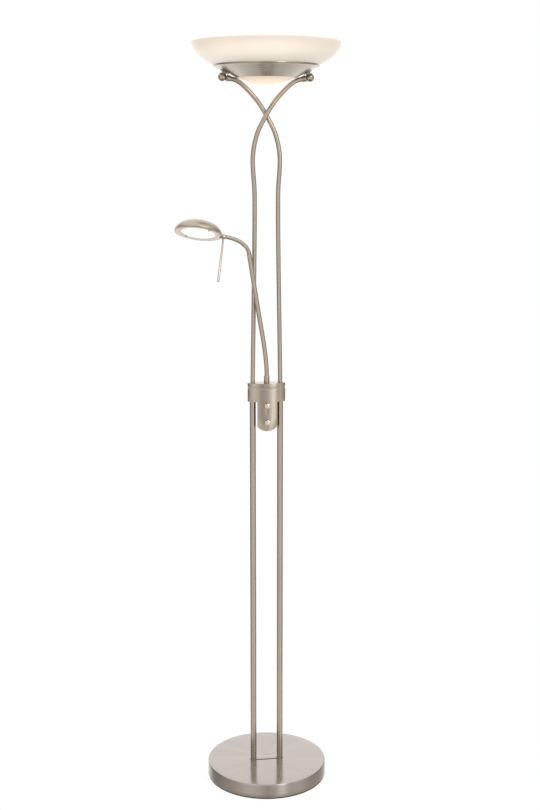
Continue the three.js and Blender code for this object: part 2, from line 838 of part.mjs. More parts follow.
// Lamp bracket: a bent strap across the bowl, with two ceramic holders and a linear halogen lamp.
const strapFootReach = 11;
const strapDeckRise = 30.5;
const strapDeckInset = 23.3;
const lampAxisRise = 24;
const linearLampLength = 117.6;
const quartzRadius = 5;
const quartzShare = 0.76;
const capRadius = 3.6;
const capSlip = 0.4;
const capSeat = 4;
const holderLength = 15;
const holderHalfWidth = 8;
const holderHeadroom = 9;
const deckSlotRadius = 3;

const strapDeckHeight = ballHeight + strapDeckRise;
const strapDeckReach = studRadius - strapDeckInset;
const lampAxisHeight = strapDeckHeight + lampAxisRise;

// The strap's side view in X and Z, symmetric, as a bent strip of even thickness.
function strapOutline() {
  const foot = (along, lift) => [
    studRadius - (strapBottom - studLength + lift) * coneSin + along * coneCos,
    studFoot + (strapBottom - studLength + lift) * coneCos + along * coneSin,
  ];
  const under = [
    foot(strapFootReach, 0),
    foot(-strapFootReach, 0),
    [strapDeckReach, strapDeckHeight - strapThickness],
  ];
  const over = [
    [strapDeckReach + strapThickness, strapDeckHeight],
    foot(-strapFootReach + strapThickness, strapThickness),
    foot(strapFootReach, strapThickness),
  ];
  const half = [...over, ...under];
  const mirrored = half.map(([x, z]) => [-x, z]).reverse();
  return new THREE.Shape([...half, ...mirrored].map(([x, z]) => new THREE.Vector2(x, z)));
}

function makeLampBracket() {
  const strip = facing(strapOutline(), -strapWidth / 2, strapWidth / 2);
  const slot = bar(deckSlotRadius, strapDeckHeight - strapThickness - overrun, strapDeckHeight + overrun);
  return strip
    .subtract(studBores(bowlNippleRadius + slip, studLength, bowlNutBottom + overrun))
    .subtract(slot);
}

piece("lamp_bracket", makeLampBracket(), plainSteel, lamp);

const sideways = new THREE.Vector3(1, 0, 0);
for (const [hand, side] of hands) {
  const face = linearLampLength / 2 - capSeat;
  const body = block(
    [face, -holderHalfWidth, strapDeckHeight + seat],
    [face + holderLength, holderHalfWidth, lampAxisHeight + holderHeadroom],
  );
  const cupRadius = capRadius + capSlip;
  const socket = new THREE.CylinderGeometry(cupRadius, cupRadius, 2 * capSeat + capSlip, turnedSides);
  const cup = solid(socket.rotateZ(Math.PI / 2).translate(face, 0, lampAxisHeight));
  const holder = body.subtract(cup);
  const whole = side > 0 ? holder : holder.rotate([0, 0, 180]);
  piece(`lamp_holder_${hand}`, whole, ceramic, lamp);
}

const quartzHalf = (linearLampLength / 2) * quartzShare;
const capHalf = linearLampLength / 2 - capSlip;
const linearLamp = aimed(sideways, lamp);
linearLamp.position.z = lampAxisHeight;
piece(
  "linear_halogen_lamp",
  turned([
    [0, -capHalf],
    [capRadius, -capHalf],
    [capRadius, -quartzHalf - capRadius],
    [quartzRadius, -quartzHalf],
    [quartzRadius, quartzHalf],
    [capRadius, quartzHalf + capRadius],
    [capRadius, capHalf],
    [0, capHalf],
  ], tubeSides),
  clearGlass,
  linearLamp,
);

// Reading arm: a fixed collar on the lid, and a tube that turns in it, rises and leans out.
const collarRadius = 6.9;
const collarHeight = 18;
const collarChamfer = 1.4;
const armHeading = 15;
const armLeanSlope = 0.17;
const armBendRise = 29.7;
const armBendLength = 22;
const armTail = 15.3;
const armWall = 1.2;
const armSteps = 16;
const retainingNutHeight = 5;
const retainingNutAcross = 14;

const pivotGroup = new THREE.Group();
pivotGroup.position.y = armPivotY;
lamp.add(pivotGroup);

const collarBore = armRadius + slip;
const collarBottom = housingTop + seat;
const collarTop = housingTop + collarHeight;
const armBottom = housingTop - armTail;
const armBendHeight = collarTop + armBendRise;
const armEndHeight = armBendHeight + armRise;
piece(
  "arm_collar",
  turnedRing([
    [collarBore, collarBottom],
    [collarRadius, collarBottom],
    [collarRadius, collarTop - collarChamfer],
    [collarBore + slip, collarTop],
    [collarBore, collarTop],
  ]),
  satinNickel,
  pivotGroup,
);

const nutCeiling = housingTop - lidPlate - seat;
piece(
  "arm_retaining_nut",
  hexNut(retainingNutAcross, armRadius + slip, nutCeiling - retainingNutHeight, nutCeiling),
  plainSteel,
  pivotGroup,
);

// A level direction, turned from -X towards the front.
const level = (heading) =>
  new THREE.Vector3(-Math.cos(radians(heading)), -Math.sin(radians(heading)), 0);

function armPoint(height) {
  const out = Math.max(0, height - armBendHeight) * armLeanSlope;
  return new THREE.Vector3(0, armPivotY, height).addScaledVector(level(armHeading), out);
}

const armHeights = [
  armBottom,
  (armBottom + armBendHeight) / 2,
  armBendHeight - armBendLength,
  armBendHeight + armBendLength,
  (armBendHeight + armEndHeight) / 2,
  armEndHeight - armBendLength,
  armEndHeight,
];
const armPath = new THREE.CatmullRomCurve3(armHeights.map(armPoint), false, "centripetal");
piece("arm_tube", tubeAlong(armPath, armRadius, armRadius - armWall, armSteps), satinNickel, lamp);

// Flexible neck: a wound, ribbed hose in five links. Each link ends in a small ball that sits in
// the bore of the next, and the links bend about the centres of these balls.
const neckReach = 55.7;
const neckRise = 39.5;
const neckHeading = 8.7;
const neckEndHeading = 3;
const neckEndClimb = 10;
const neckPullShares = [0.3, 0.42];
const hoseRadius = 5;
const ribDepth = 0.75;
const ribsPerLink = 6;
const linkCount = 5;
const linkGap = 1.3;
const noseRadius = 2.9;
const noseBore = 1.1;
const noseAngles = [30, 40];
const socketSlip = 0.35;
const neckSocketDepth = 5;
const plugRadius = 3.3;
const plugLength = 8;
const ribSides = 8;
const hoseSamples = 240;

const armEnd = armPoint(armEndHeight);
const armEndTangent = armPath.getTangent(1);
const neckEnd = armEnd
  .clone()
  .addScaledVector(level(neckHeading), neckReach)
  .addScaledVector(up, neckRise);
const neckEndTangent = level(neckEndHeading)
  .multiplyScalar(cosOf(neckEndClimb))
  .setZ(sinOf(neckEndClimb));
const neckChord = neckEnd.distanceTo(armEnd);
const neckCurve = new THREE.CubicBezierCurve3(
  armEnd,
  armEnd.clone().addScaledVector(armEndTangent, neckChord * neckPullShares[0]),
  neckEnd.clone().addScaledVector(neckEndTangent, -neckChord * neckPullShares[1]),
  neckEnd,
);
neckCurve.arcLengthDivisions = hoseSamples;
const hoseLength = neckCurve.getLength();
const linkLength = hoseLength / linkCount;

// A point and two cross directions at a distance along the hose, straight on past its ends.
function hoseFrame(along) {
  const share = THREE.MathUtils.clamp(along / hoseLength, 0, 1);
  const tangent = neckCurve.getTangentAt(share);
  const point = neckCurve.getPointAt(share);
  point.addScaledVector(tangent, along - share * hoseLength);
  const across = new THREE.Vector3().crossVectors(tangent, up).normalize();
  const over = new THREE.Vector3().crossVectors(across, tangent);
  return { point, tangent, across, over };
}

// A hose along the curve from [distance, radius] pairs, whose outline closes on itself.
function hoseSolid(outline) {
  const points = [];
  const triangles = [];
  outline.forEach(([along, radius]) => {
    const { point, across, over } = hoseFrame(along);
    for (let i = 0; i < ribSides; i += 1) {
      const turn = (2 * Math.PI * i) / ribSides;
      const spot = point.clone().addScaledVector(across, radius * Math.cos(turn));
      points.push(...spot.addScaledVector(over, radius * Math.sin(turn)));
    }
  });
  const ringStart = (ring) => (ring % outline.length) * ribSides;
  for (let ring = 0; ring < outline.length; ring += 1) {
    for (let i = 0; i < ribSides; i += 1) {
      const next = (i + 1) % ribSides;
      const [a, b] = [ringStart(ring) + i, ringStart(ring) + next];
      const [c, d] = [ringStart(ring + 1) + i, ringStart(ring + 1) + next];
      triangles.push(a, b, d, a, d, c);
    }
  }
  const geometry = new THREE.BufferGeometry();
  geometry.setAttribute("position", new THREE.Float32BufferAttribute(points, 3));
  geometry.setIndex(triangles);
  return solid(geometry);
}

function makeLink(index) {
  const first = index === 0;
  const start = index * linkLength + (first ? seat : linkGap / 2);
  const pivot = (index + 1) * linkLength;
  const end = pivot - linkGap / 2;
  const groove = hoseRadius - ribDepth;
  const pitch = (end - start) / ribsPerLink;
  const outside = [];
  for (let rib = 0; rib < ribsPerLink; rib += 1) {
    outside.push([start + pitch * rib, groove], [start + pitch * (rib + 1 / 2), hoseRadius]);
  }
  outside.push([end, groove]);
  const [shoulder, tip] = noseAngles;
  const nose = [
    [end, noseRadius],
    [pivot + noseRadius * sinOf(shoulder), noseRadius * cosOf(shoulder)],
    [pivot + noseRadius * cosOf(tip), noseRadius * sinOf(tip)],
    [pivot + noseRadius * cosOf(tip), noseBore],
  ];
  const socket = [
    [start + neckSocketDepth, noseBore],
    [start + neckSocketDepth, noseRadius + socketSlip],
    [start, noseRadius + socketSlip],
  ];
  const plug = [
    [start - plugLength, noseBore],
    [start - plugLength, plugRadius],
    [start, plugRadius],
  ];
  return hoseSolid([...outside, ...nose, ...(first ? plug : socket)]);
}

for (let index = 0; index < linkCount; index += 1) {
  piece(`flexible_neck_${index + 1}`, makeLink(index), satinNickel, lamp);
}

// Reading head. Its own frame has +Z out of the dome and +X towards the neck.
const headTilt = 18.6;
const domeHeight = 30;
const headWall = 1.2;
const headSides = 32;
const domeRows = 6;
const ringInner = 40.5;
const ringThickness = 1.4;
const lensThickness = 3;
const lensSlip = 0.4;
const rimSlip = 0.9;
const neckBlockRadius = 5.6;
const neckBlockReach = 9;
const neckBlockInset = 5;
const neckBlockRise = 3;
const neckBlockChamfer = 0.8;
const handleLength = 104;
const handleTop = 2.2;
const handleEnd = 3.1;
const handleOut = 3.4;
const handleSpigot = 1.5;
const spigotDepth = 3;

const towardsNeck = neckEndTangent.clone().negate();
const upright = up.clone().projectOnPlane(towardsNeck).normalize();
const backwards = new THREE.Vector3().crossVectors(upright, towardsNeck);
const domeAxis = upright
  .clone()
  .multiplyScalar(cosOf(headTilt))
  .addScaledVector(backwards, sinOf(headTilt));
const acrossHead = new THREE.Vector3().crossVectors(domeAxis, towardsNeck);

const head = new THREE.Group();
head.setRotationFromMatrix(new THREE.Matrix4().makeBasis(towardsNeck, acrossHead, domeAxis));
head.position
  .copy(neckEnd)
  .addScaledVector(towardsNeck, -headRadius - neckBlockReach)
  .addScaledVector(domeAxis, -neckBlockRise);
lamp.add(head);

const alongX = (radius, start, end, sides = turnedSides) => {
  const geometry = new THREE.CylinderGeometry(radius, radius, end - start, sides);
  return solid(geometry.rotateZ(Math.PI / 2).translate((start + end) / 2, 0, 0));
};

function domeRow(radius, height) {
  return Array.from({ length: domeRows + 1 }, (_, i) => {
    const angle = (Math.PI / 2) * (i / domeRows);
    return [radius * Math.cos(angle), height * Math.sin(angle)];
  });
}

function makeHeadShell() {
  const outside = domeRow(headRadius, domeHeight).reverse();
  const inside = domeRow(headRadius - headWall, domeHeight - headWall);
  const shell = turned([...outside, ...inside], headSides);
  const opening = alongX(neckBlockRadius + slip, headRadius - 2 * neckBlockInset, headRadius + overrun);
  return shell.subtract(opening.translate(0, 0, neckBlockRise));
}

piece("head_shell", makeHeadShell(), satinNickel, head);

function makeRimRing() {
  const outer = headRadius - headWall - rimSlip;
  const flat = turnedRing(
    [
      [ringInner, 0],
      [outer, 0],
      [outer, ringThickness],
      [ringInner, ringThickness],
    ],
    headSides,
  );
  const opening = alongX(neckBlockRadius + slip, headRadius - 2 * neckBlockInset, headRadius);
  return flat.subtract(opening.translate(0, 0, neckBlockRise));
}

piece("head_rim_ring", makeRimRing(), satinNickel, head);
piece("head_lens", bar(ringInner - lensSlip, 0, lensThickness, headSides), opalGlass, head);

// Reflector, lamp holder and capsule lamp behind the lens.
const reflectorFlange = 43.5;
const reflectorMouth = 39;
const reflectorThroat = 8;
const reflectorDepth = 15;
const reflectorWall = 0.8;
const capsuleRadius = 4.5;
const capsuleHeight = 12;
const holderRadius = 7.5;
const holderGap = 0.5;
const reflectorBottom = lensThickness + seat;
const reflectorTop = reflectorBottom + reflectorDepth;

piece(
  "head_reflector",
  turnedRing(
    [
      [reflectorFlange, reflectorBottom],
      [reflectorFlange, reflectorBottom + reflectorWall],
      [reflectorMouth, reflectorBottom + reflectorWall],
      [(reflectorMouth + reflectorThroat) / 2, reflectorBottom + reflectorDepth / 2 + reflectorWall],
      [reflectorThroat, reflectorTop],
      [reflectorThroat, reflectorTop - reflectorWall],
      [(reflectorMouth + reflectorThroat) / 2, reflectorBottom + reflectorDepth / 2 - reflectorWall],
      [reflectorMouth - reflectorWall, reflectorBottom],
    ],
    headSides,
  ),
  spunAluminium,
  head,
);

const holderTop = (domeHeight - headWall) * Math.sqrt(1 - (holderRadius / (headRadius - headWall)) ** 2);
piece(
  "head_lamp_holder",
  bar(holderRadius, reflectorTop + seat, holderTop - holderGap),
  ceramic,
  head,
);
const capsuleTop = reflectorTop;
piece(
  "head_capsule_lamp",
  turned([
    [0, capsuleTop - capsuleHeight],
    [capsuleRadius / 2, capsuleTop - capsuleHeight + weld],
    [capsuleRadius, capsuleTop - capsuleHeight + capsuleRadius / 2],
    [capsuleRadius, capsuleTop],
    [0, capsuleTop],
  ], tubeSides),
  clearGlass,
  head,
);

// Two clips hold the lens: a tab under a round screw head, on opposite sides of the ring.
const clipRadius = 43.4;
const clipAngles = [-62, 118];
const clipHalfLength = 4.5;
const clipHalfWidth = 2.6;
const clipThickness = 0.9;
const screwRadius = 2;
const screwHeight = 1.3;

function makeLensClip() {
  const tab = block(
    [clipRadius - clipHalfLength, -clipHalfWidth, -seat - clipThickness],
    [clipRadius + clipHalfLength, clipHalfWidth, -seat],
  );
  const screw = turned([
    [0, -screwHeight],
    [screwRadius / 2, -screwHeight],
    [screwRadius, -screwHeight / 2],
    [screwRadius, 0],
    [0, 0],
  ], tubeSides);
  return tab.add(screw.translate(clipRadius + screwRadius / 2, 0, -seat - clipThickness / 2));
}

clipAngles.forEach((angle, i) => {
  const made = makeLensClip().rotate([0, 0, angle]);
  piece(`lens_clip_${["near", "far"][i]}`, made, chrome, head);
});

// Neck block: the knuckle between flexible neck and head, with the handle rod screwed in below.
function makeNeckBlock() {
  const inner = headRadius - neckBlockInset;
  const outer = headRadius + neckBlockReach - seat;
  const core = turned([
    [0, inner],
    [neckBlockRadius, inner],
    [neckBlockRadius, outer - neckBlockChamfer],
    [neckBlockRadius - neckBlockChamfer, outer],
    [0, outer],
  ]);
  const laid = core.rotate([0, 90, 0]).translate(0, 0, neckBlockRise);
  const boreEnd = outer - neckSocketDepth;
  const socket = alongX(noseRadius + socketSlip, boreEnd, outer + overrun, tubeSides);
  const underside = neckBlockRise - neckBlockRadius;
  const thread = bar(handleSpigot + slip, underside - overrun, underside + spigotDepth + slip, tubeSides);
  return laid
    .subtract(socket.translate(0, 0, neckBlockRise))
    .subtract(thread.translate(headRadius + handleOut, 0, 0));
}

piece("head_neck_block", makeNeckBlock(), satinNickel, head);

function makeHandle() {
  const top = neckBlockRise - neckBlockRadius - seat;
  const bottom = top - handleLength;
  return turned([
    [0, bottom],
    [handleEnd / 2, bottom],
    [handleEnd, bottom + handleEnd / 2],
    [handleTop, top],
    [handleSpigot, top],
    [handleSpigot, top + spigotDepth],
    [0, top + spigotDepth],
  ], tubeSides).translate(headRadius + handleOut, 0, 0);
}

piece("head_handle", makeHandle(), satinNickel, head);

export default lamp;
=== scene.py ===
"""The torchiere floor lamp with its reading light, dressed for the render.

The script follows the lamp as it is put together: base, poles, control housing, upper tubes, dish and
glass, reading arm, flexible neck and reading head, then the studio. Sizes are in millimetres and are
turned to metres by MM where a mesh is made. The scale of a pattern is in repeats per metre.
"""

from math import atan2, cos, hypot, pi, radians, sin

import bmesh
import bpy
from mathutils import Matrix, Vector


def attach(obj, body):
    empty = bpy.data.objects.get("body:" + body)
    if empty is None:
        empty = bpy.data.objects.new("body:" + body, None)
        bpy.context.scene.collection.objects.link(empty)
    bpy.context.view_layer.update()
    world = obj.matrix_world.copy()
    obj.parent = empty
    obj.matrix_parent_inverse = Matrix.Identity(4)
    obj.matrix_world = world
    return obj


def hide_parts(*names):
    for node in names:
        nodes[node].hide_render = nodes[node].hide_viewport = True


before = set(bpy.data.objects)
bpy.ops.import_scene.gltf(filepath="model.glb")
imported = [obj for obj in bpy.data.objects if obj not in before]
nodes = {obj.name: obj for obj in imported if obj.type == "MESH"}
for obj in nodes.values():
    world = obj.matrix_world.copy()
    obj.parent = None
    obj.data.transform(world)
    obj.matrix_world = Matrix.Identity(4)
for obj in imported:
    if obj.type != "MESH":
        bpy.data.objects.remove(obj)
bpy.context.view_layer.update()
MM = 0.001

# The camera: a standing person's view from a little left of the knobs, about three metres away.
bpy.ops.object.camera_add(
    location=(-0.3744, -3.0496, 1.5353), rotation=(radians(79.25), 0, radians(-7.16))
)
camera = bpy.context.object
camera.data.lens = 57.49
camera.data.sensor_width = 36
bpy.context.scene.camera = camera
bpy.context.scene.view_settings.view_transform = "Standard"


# Base foot pad: a disc of black foamed rubber glued under the base, so that it doesn't mark the
# floor. Only its edge shows, as a dark line in the gap under the metal cover.
def linear(colour):
    """An sRGB hex colour as linear red, green, blue and one."""
    parts = [(colour >> shift & 255) / 255 for shift in (16, 8, 0)]
    return [p / 12.92 if p <= 0.04045 else ((p + 0.055) / 1.055) ** 2.4 for p in parts] + [1.0]


def plug(tree, node, inputs):
    """Sets inputs of a node, or links them to a socket or to what another node gives."""
    for key, value in inputs.items():
        if isinstance(value, bpy.types.Node):
            value = next(output for output in value.outputs if output.enabled)
        if isinstance(value, bpy.types.NodeSocket):
            tree.links.new(value, node.inputs[key])
        else:
            node.inputs[key].default_value = value


def add_node(tree, kind, inputs=None, **settings):
    """Adds a node to a tree, with its settings and with what its inputs get."""
    node = tree.nodes.new("ShaderNode" + kind)
    for key, value in settings.items():
        setattr(node, key, value)
    plug(tree, node, inputs or {})
    return node


def start_material(name):
    """An empty material: its tree, its Principled shader and the Object coordinates."""
    material = bpy.data.materials.new(name)
    material.use_nodes = True
    tree = material.node_tree
    tree.nodes.clear()
    shader = add_node(tree, "BsdfPrincipled")
    add_node(tree, "OutputMaterial", {"Surface": shader})
    return material, tree, shader, add_node(tree, "TexCoord").outputs["Object"]


def grained(name, scale, detail, tones, gloss, bump=None, **sockets):
    """A material with one fine grain, which mixes two tones, varies the roughness and raises a bump.

    One tone, or one roughness, is the same all over. The bump is its strength and its depth in metres.
    """
    material, tree, shader, place = start_material(name)
    grain = add_node(tree, "TexNoise", {"Vector": place, "Scale": scale, "Detail": detail})
    colours = [linear(tone) for tone in tones]
    sockets["Base Color"], sockets["Roughness"] = colours[0], gloss[0]
    if len(colours) > 1:
        sockets["Base Color"] = add_node(
            tree, "Mix", {"Factor": grain, 6: colours[0], 7: colours[1]}, data_type="RGBA"
        )
    if len(gloss) > 1:
        sockets["Roughness"] = add_node(
            tree, "MapRange", {"Value": grain, "To Min": gloss[0], "To Max": gloss[1]}
        )
    if bump:
        sockets["Normal"] = add_node(
            tree, "Bump", {"Height": grain, "Strength": bump[0], "Distance": bump[1]}
        )
    plug(tree, shader, sockets)
    return material


def new_piece(name, primitive, **sizes):
    """Adds a primitive that a piece starts from, with nothing else selected."""
    bpy.ops.object.select_all(action="DESELECT")
    primitive(**sizes)
    bpy.context.object.name = name
    return bpy.context.object


def pick(piece, test):
    """In edit mode, selects the points whose place in millimetres passes a test."""
    shape = bmesh.from_edit_mesh(piece.data)
    bpy.ops.mesh.select_all(action="DESELECT")
    for point in shape.verts:
        point.select = bool(test(*(piece.matrix_world @ point.co / MM)))
    shape.select_flush(True)
    bmesh.update_edit_mesh(piece.data)


def finished(piece, bevel=0.0, smooth=35, segments=2):
    """Applies the piece's place, rounds its edges by a bevel in millimetres and smooths its faces."""
    if bpy.context.mode == "EDIT_MESH":
        bpy.ops.mesh.select_all(action="SELECT")
        bpy.ops.mesh.remove_doubles(threshold=0.01 * MM)
        bpy.ops.mesh.normals_make_consistent(inside=False)
        bpy.ops.object.mode_set(mode="OBJECT")
    bpy.ops.object.transform_apply(location=True, rotation=True, scale=True)
    if bevel:
        edge = piece.modifiers.new("edge", "BEVEL")
        edge.width = bevel * MM
        edge.segments = segments
        edge.limit_method = "ANGLE"
        edge.angle_limit = radians(smooth)
        bpy.ops.object.modifier_apply(modifier="edge")
    bpy.ops.object.shade_smooth_by_angle(angle=radians(smooth))
    return piece


def turned(name, rings, sides=64, bridged=False, bevel=0.0, smooth=35, oval=None):
    """A turned piece about +Z: a circle, extruded and resized through (radius, height) pairs.

    With the half width and half depth of an oval, the pairs are (inset, height) instead. A radius of
    zero at either end closes the piece in a point. Other ends get a flat face, or are joined to each
    other where the outline is bridged into a ring.
    """
    height_slack, reach_slack = 0.005, 0.001

    def reach(ring):
        return (oval[0] - ring[0], oval[1] - ring[0]) if oval else (ring[0], ring[0])

    def on_ring(ring):
        wide, deep = reach(ring)
        return lambda x, y, z: (
            abs(z - ring[1]) < height_slack and abs(hypot(x / wide, y / deep) - 1) < reach_slack
        )

    def extrude(rise):
        bpy.ops.mesh.extrude_region_move(TRANSFORM_OT_translate={"value": (0, 0, rise * MM)})

    first = rings[0] if reach(rings[0])[0] else rings[1]
    (wide, deep), height = reach(first), first[1]
    piece = new_piece(
        name, bpy.ops.mesh.primitive_circle_add,
        vertices=sides, radius=MM, location=(0, 0, height * MM),
    )
    bpy.ops.object.mode_set(mode="EDIT")
    bpy.ops.mesh.select_all(action="SELECT")
    bpy.ops.transform.resize(value=(wide, deep, 1), center_override=(0, 0, 0))
    for ring in rings[rings.index(first) + 1:]:
        extrude(ring[1] - height)
        next_wide, next_deep = reach(ring)
        if next_wide == 0:
            bpy.ops.mesh.merge(type="CENTER")
            break
        bpy.ops.transform.resize(
            value=(next_wide / wide, next_deep / deep, 1), center_override=(0, 0, 0)
        )
        wide, deep, height = next_wide, next_deep, ring[1]

    if bridged:
        pick(piece, lambda x, y, z: on_ring(rings[0])(x, y, z) or on_ring(rings[-1])(x, y, z))
        bpy.ops.mesh.bridge_edge_loops()
        return finished(piece, bevel, smooth)
    if reach(rings[-1])[0]:
        bpy.ops.mesh.edge_face_add()
    pick(piece, on_ring(first))
    if first is rings[0]:
        bpy.ops.mesh.edge_face_add()
    else:
        extrude(rings[0][1] - first[1])
        bpy.ops.mesh.merge(type="CENTER")
    return finished(piece, bevel, smooth)


def fit(piece, material, slot, body, *stands_for):
    """Gives a piece its finish, hangs it on the body it moves with, and hides and dresses the CAD nodes
    it stands for.
    """
    piece.data.materials.clear()
    piece.data.materials.append(material)
    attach(piece, body)
    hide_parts(*stands_for)
    dress(material, *stands_for)


def dress(material, *names):
    """Gives CAD nodes a finish."""
    for name in names:
        for slot in nodes[name].material_slots:
            slot.material = material


# Foamed rubber: matt, nearly black, with a fine open grain of about 1.5 mm.
pad_rubber = grained("foamed_rubber", 650, 3, (0x171513, 0x2B2825), (0.9,), bump=(0.5, 0.0003))
pad_radius, pad_top = 147.6, 2.7
foot_pad = turned("foamed_foot_pad", [(pad_radius, 0), (pad_radius, pad_top)], sides=128, bevel=0.4)
fit(foot_pad, pad_rubber, "pad_rubber", "stand", "base_foot_pad")


# Base cover: a deep lid of sheet steel, spun over the cast weight, nickel plated and turned with
# a fine abrasive while it spins. Its edge is rounded over, and its top carries fine rings.
def arc(centre, radius, start, end, steps, rise=None):
    """(radius, height) pairs on an arc of a turned outline, between two angles in degrees.

    With a rise of its own, the arc is part of an ellipse.
    """
    turns = [radians(start + (end - start) * i / steps) for i in range(steps + 1)]
    return [(centre[0] + radius * cos(turn), centre[1] + (rise or radius) * sin(turn)) for turn in turns]


cover_radius, cover_top, cover_edge, cover_wall = 148.5, 38.0, 3.0, 1.2
cover_inside, cover_ceiling = cover_radius - cover_wall, cover_top - cover_wall
cover = turned(
    "spun_base_cover",
    [(radius, cover_top) for radius in (0, 30, 60, 90, 120)]
    + arc((cover_radius - cover_edge, cover_top - cover_edge), cover_edge, 90, 0, 8)
    + [(cover_radius, 26), (cover_radius, 14), (cover_radius, 3.5), (cover_radius - 0.3, 3),
       (cover_inside, 2.9), (cover_inside, 34.5), (145.2, cover_ceiling), (0, cover_ceiling)],
    sides=192, smooth=40,
)

# Turned nickel plate: the rings scatter light across themselves, so lamps and windows show as a fan
# of soft rays from the middle. The plate is warm grey, and a painted sheen makes each ray a little paler
# or darker.
turned_nickel, tree, shader, place = start_material("turned_nickel_plate")
parts = add_node(tree, "SeparateXYZ", {"Vector": place})
turn = add_node(tree, "Math", {0: parts.outputs["Y"], 1: parts.outputs["X"]}, operation="ARCTAN2")
out = add_node(tree, "VectorMath", {0: place}, operation="LENGTH")
on_circle = add_node(tree, "CombineXYZ", {
    "X": add_node(tree, "Math", {0: turn}, operation="COSINE"),
    "Y": add_node(tree, "Math", {0: turn}, operation="SINE"),
})
# Painted sheen: noise round the middle gives rays of paler and darker tone.
rays = add_node(tree, "TexNoise", {"Vector": on_circle, "Scale": 2.6, "Detail": 3.0})
fan = add_node(tree, "MapRange", {"Value": rays, "From Min": 0.36, "From Max": 0.64})
shade = add_node(
    tree, "Mix", {"Factor": fan, 6: linear(0xACA59F), 7: linear(0xB1AAA4)}, data_type="RGBA"
)
# Rings 0.9 mm apart. The real ones are finer than a tenth of a millimetre and wouldn't show.
rings = add_node(
    tree, "TexNoise", {"W": out, "Scale": 1100.0, "Detail": 2.0}, noise_dimensions="1D"
)
gloss = add_node(tree, "MapRange", {
    "Value": rings, "From Min": 0.3, "From Max": 0.7, "To Min": 0.15, "To Max": 0.24,
})
# The side is left coarser than the top, so a light runs down it as a stripe.
coarse = add_node(
    tree, "MapRange",
    {"Value": parts.outputs["Z"], "From Min": 0.0365, "From Max": 0.0355, "To Max": 0.16},
    interpolation_type="SMOOTHSTEP",
)
plug(tree, shader, {
    "Base Color": shade, "Metallic": 1.0, "Anisotropic": 0.8, "Anisotropic Rotation": 0.25,
    "Roughness": add_node(tree, "Math", {0: gloss, 1: coarse}, operation="ADD"),
    "Tangent": add_node(tree, "Tangent", direction_type="RADIAL", axis="Z"),
    "Normal": add_node(tree, "Bump", {"Height": rings, "Strength": 0.05, "Distance": 0.0001}),
})
fit(cover, turned_nickel, "turned_nickel", "stand", "base_cover")


# Cable inlet: a dark moulded grommet, pushed into a hole at the back of the cover. Its flange has
# a rounded edge, and its bore is open.
def laid(piece, at, axis=(0, 0, 1)):
    """Lays a piece made about +Z along an axis, from a point in millimetres."""
    turn = Vector((0, 0, 1)).rotation_difference(Vector(axis)).to_matrix().to_4x4()
    piece.matrix_world = Matrix.Translation(Vector(at) * MM) @ turn
    bpy.ops.object.transform_apply(location=True, rotation=True)
    return piece


inlet_height = 11
grommet = turned(
    "moulded_grommet",
    [(3, 143.6), (4.7, 143.6), (4.7, 148.8), (7.2, 148.8), (7.5, 149.2), (7.1, 150.4), (6, 150.8),
     (3.8, 150.8), (3, 150.2)],
    sides=40, bridged=True,
)
laid(grommet, (0, 0, inlet_height), (0, 1, 0))

# Moulded plastic: dulled by a spark-eroded grain of about half a millimetre. Its dark brownish grey is
# lighter than the real black plastic: painted light, which lifts the shaded strip beside the tongue.
dark_plastic = grained(
    "moulded_dark_plastic", 1800, 2, (0x6A625C,), (0.42, 0.6), bump=(0.25, 0.0001), IOR=1.5
)
fit(grommet, dark_plastic, "black_plastic", "stand", "cable_grommet")


# Foot plate: a thin strip of nickel plated steel with round ends, which both poles stand on.
# It is punched from sheet and deburred, so its edges are soft.
pole_x = 33.3
plate_radius, plate_thickness, plate_sides = 10.1, 1.0, 64
plate_bottom = cover_top + 0.3
foot_plate = new_piece(
    "pressed_foot_plate", bpy.ops.mesh.primitive_circle_add,
    vertices=plate_sides, radius=plate_radius * MM, fill_type="NGON",
    location=(0, 0, plate_bottom * MM), rotation=(0, 0, pi / plate_sides),
)
bpy.ops.object.mode_set(mode="EDIT")
for side in (-1, 1):
    pick(foot_plate, lambda x, y, z: side * x > 0)
    bpy.ops.transform.translate(value=(side * pole_x * MM, 0, 0))
bpy.ops.mesh.select_all(action="SELECT")
bpy.ops.mesh.extrude_region_move(TRANSFORM_OT_translate={"value": (0, 0, plate_thickness * MM)})
finished(foot_plate, bevel=0.3)
fit(foot_plate, turned_nickel, "satin_nickel", "stand", "pole_foot_plate")


# Lower poles: two steel tubes of 15 mm, nickel plated, pulled down on the base by a nut inside.
# They run up into the control housing.
def nickel(name, direction, dull=0.0, tones=(0xB3A899, 0xBBB1A3)):
    """Satin nickel plate: warm grey metal with the fine scratches of its polishing wheel.

    direction is how much finer the scratches are along X, Y and Z, dull adds to the roughness, and
    the plate varies between two tones.
    """
    material, tree, shader, place = start_material(name)
    stretch = add_node(tree, "Mapping", {"Vector": place, "Scale": direction})
    scratches = add_node(tree, "TexNoise", {"Vector": stretch, "Scale": 900.0, "Detail": 3.0})
    clouds = add_node(tree, "TexNoise", {"Vector": place, "Scale": 14.0, "Detail": 2.0})
    worn = add_node(tree, "Math", {0: clouds, 1: 0.35, 2: scratches}, operation="MULTIPLY_ADD")
    plug(tree, shader, {
        "Base Color": add_node(
            tree, "Mix", {"Factor": clouds, 6: linear(tones[0]), 7: linear(tones[1])},
            data_type="RGBA",
        ),
        "Metallic": 1.0,
        "Roughness": add_node(tree, "MapRange", {
            "Value": worn, "From Min": 0.4, "From Max": 0.95,
            "To Min": 0.22 + dull, "To Max": 0.26 + dull,
        }),
        "Normal": add_node(tree, "Bump", {"Height": scratches, "Strength": 0.02, "Distance": 0.0001}),
    })
    return material


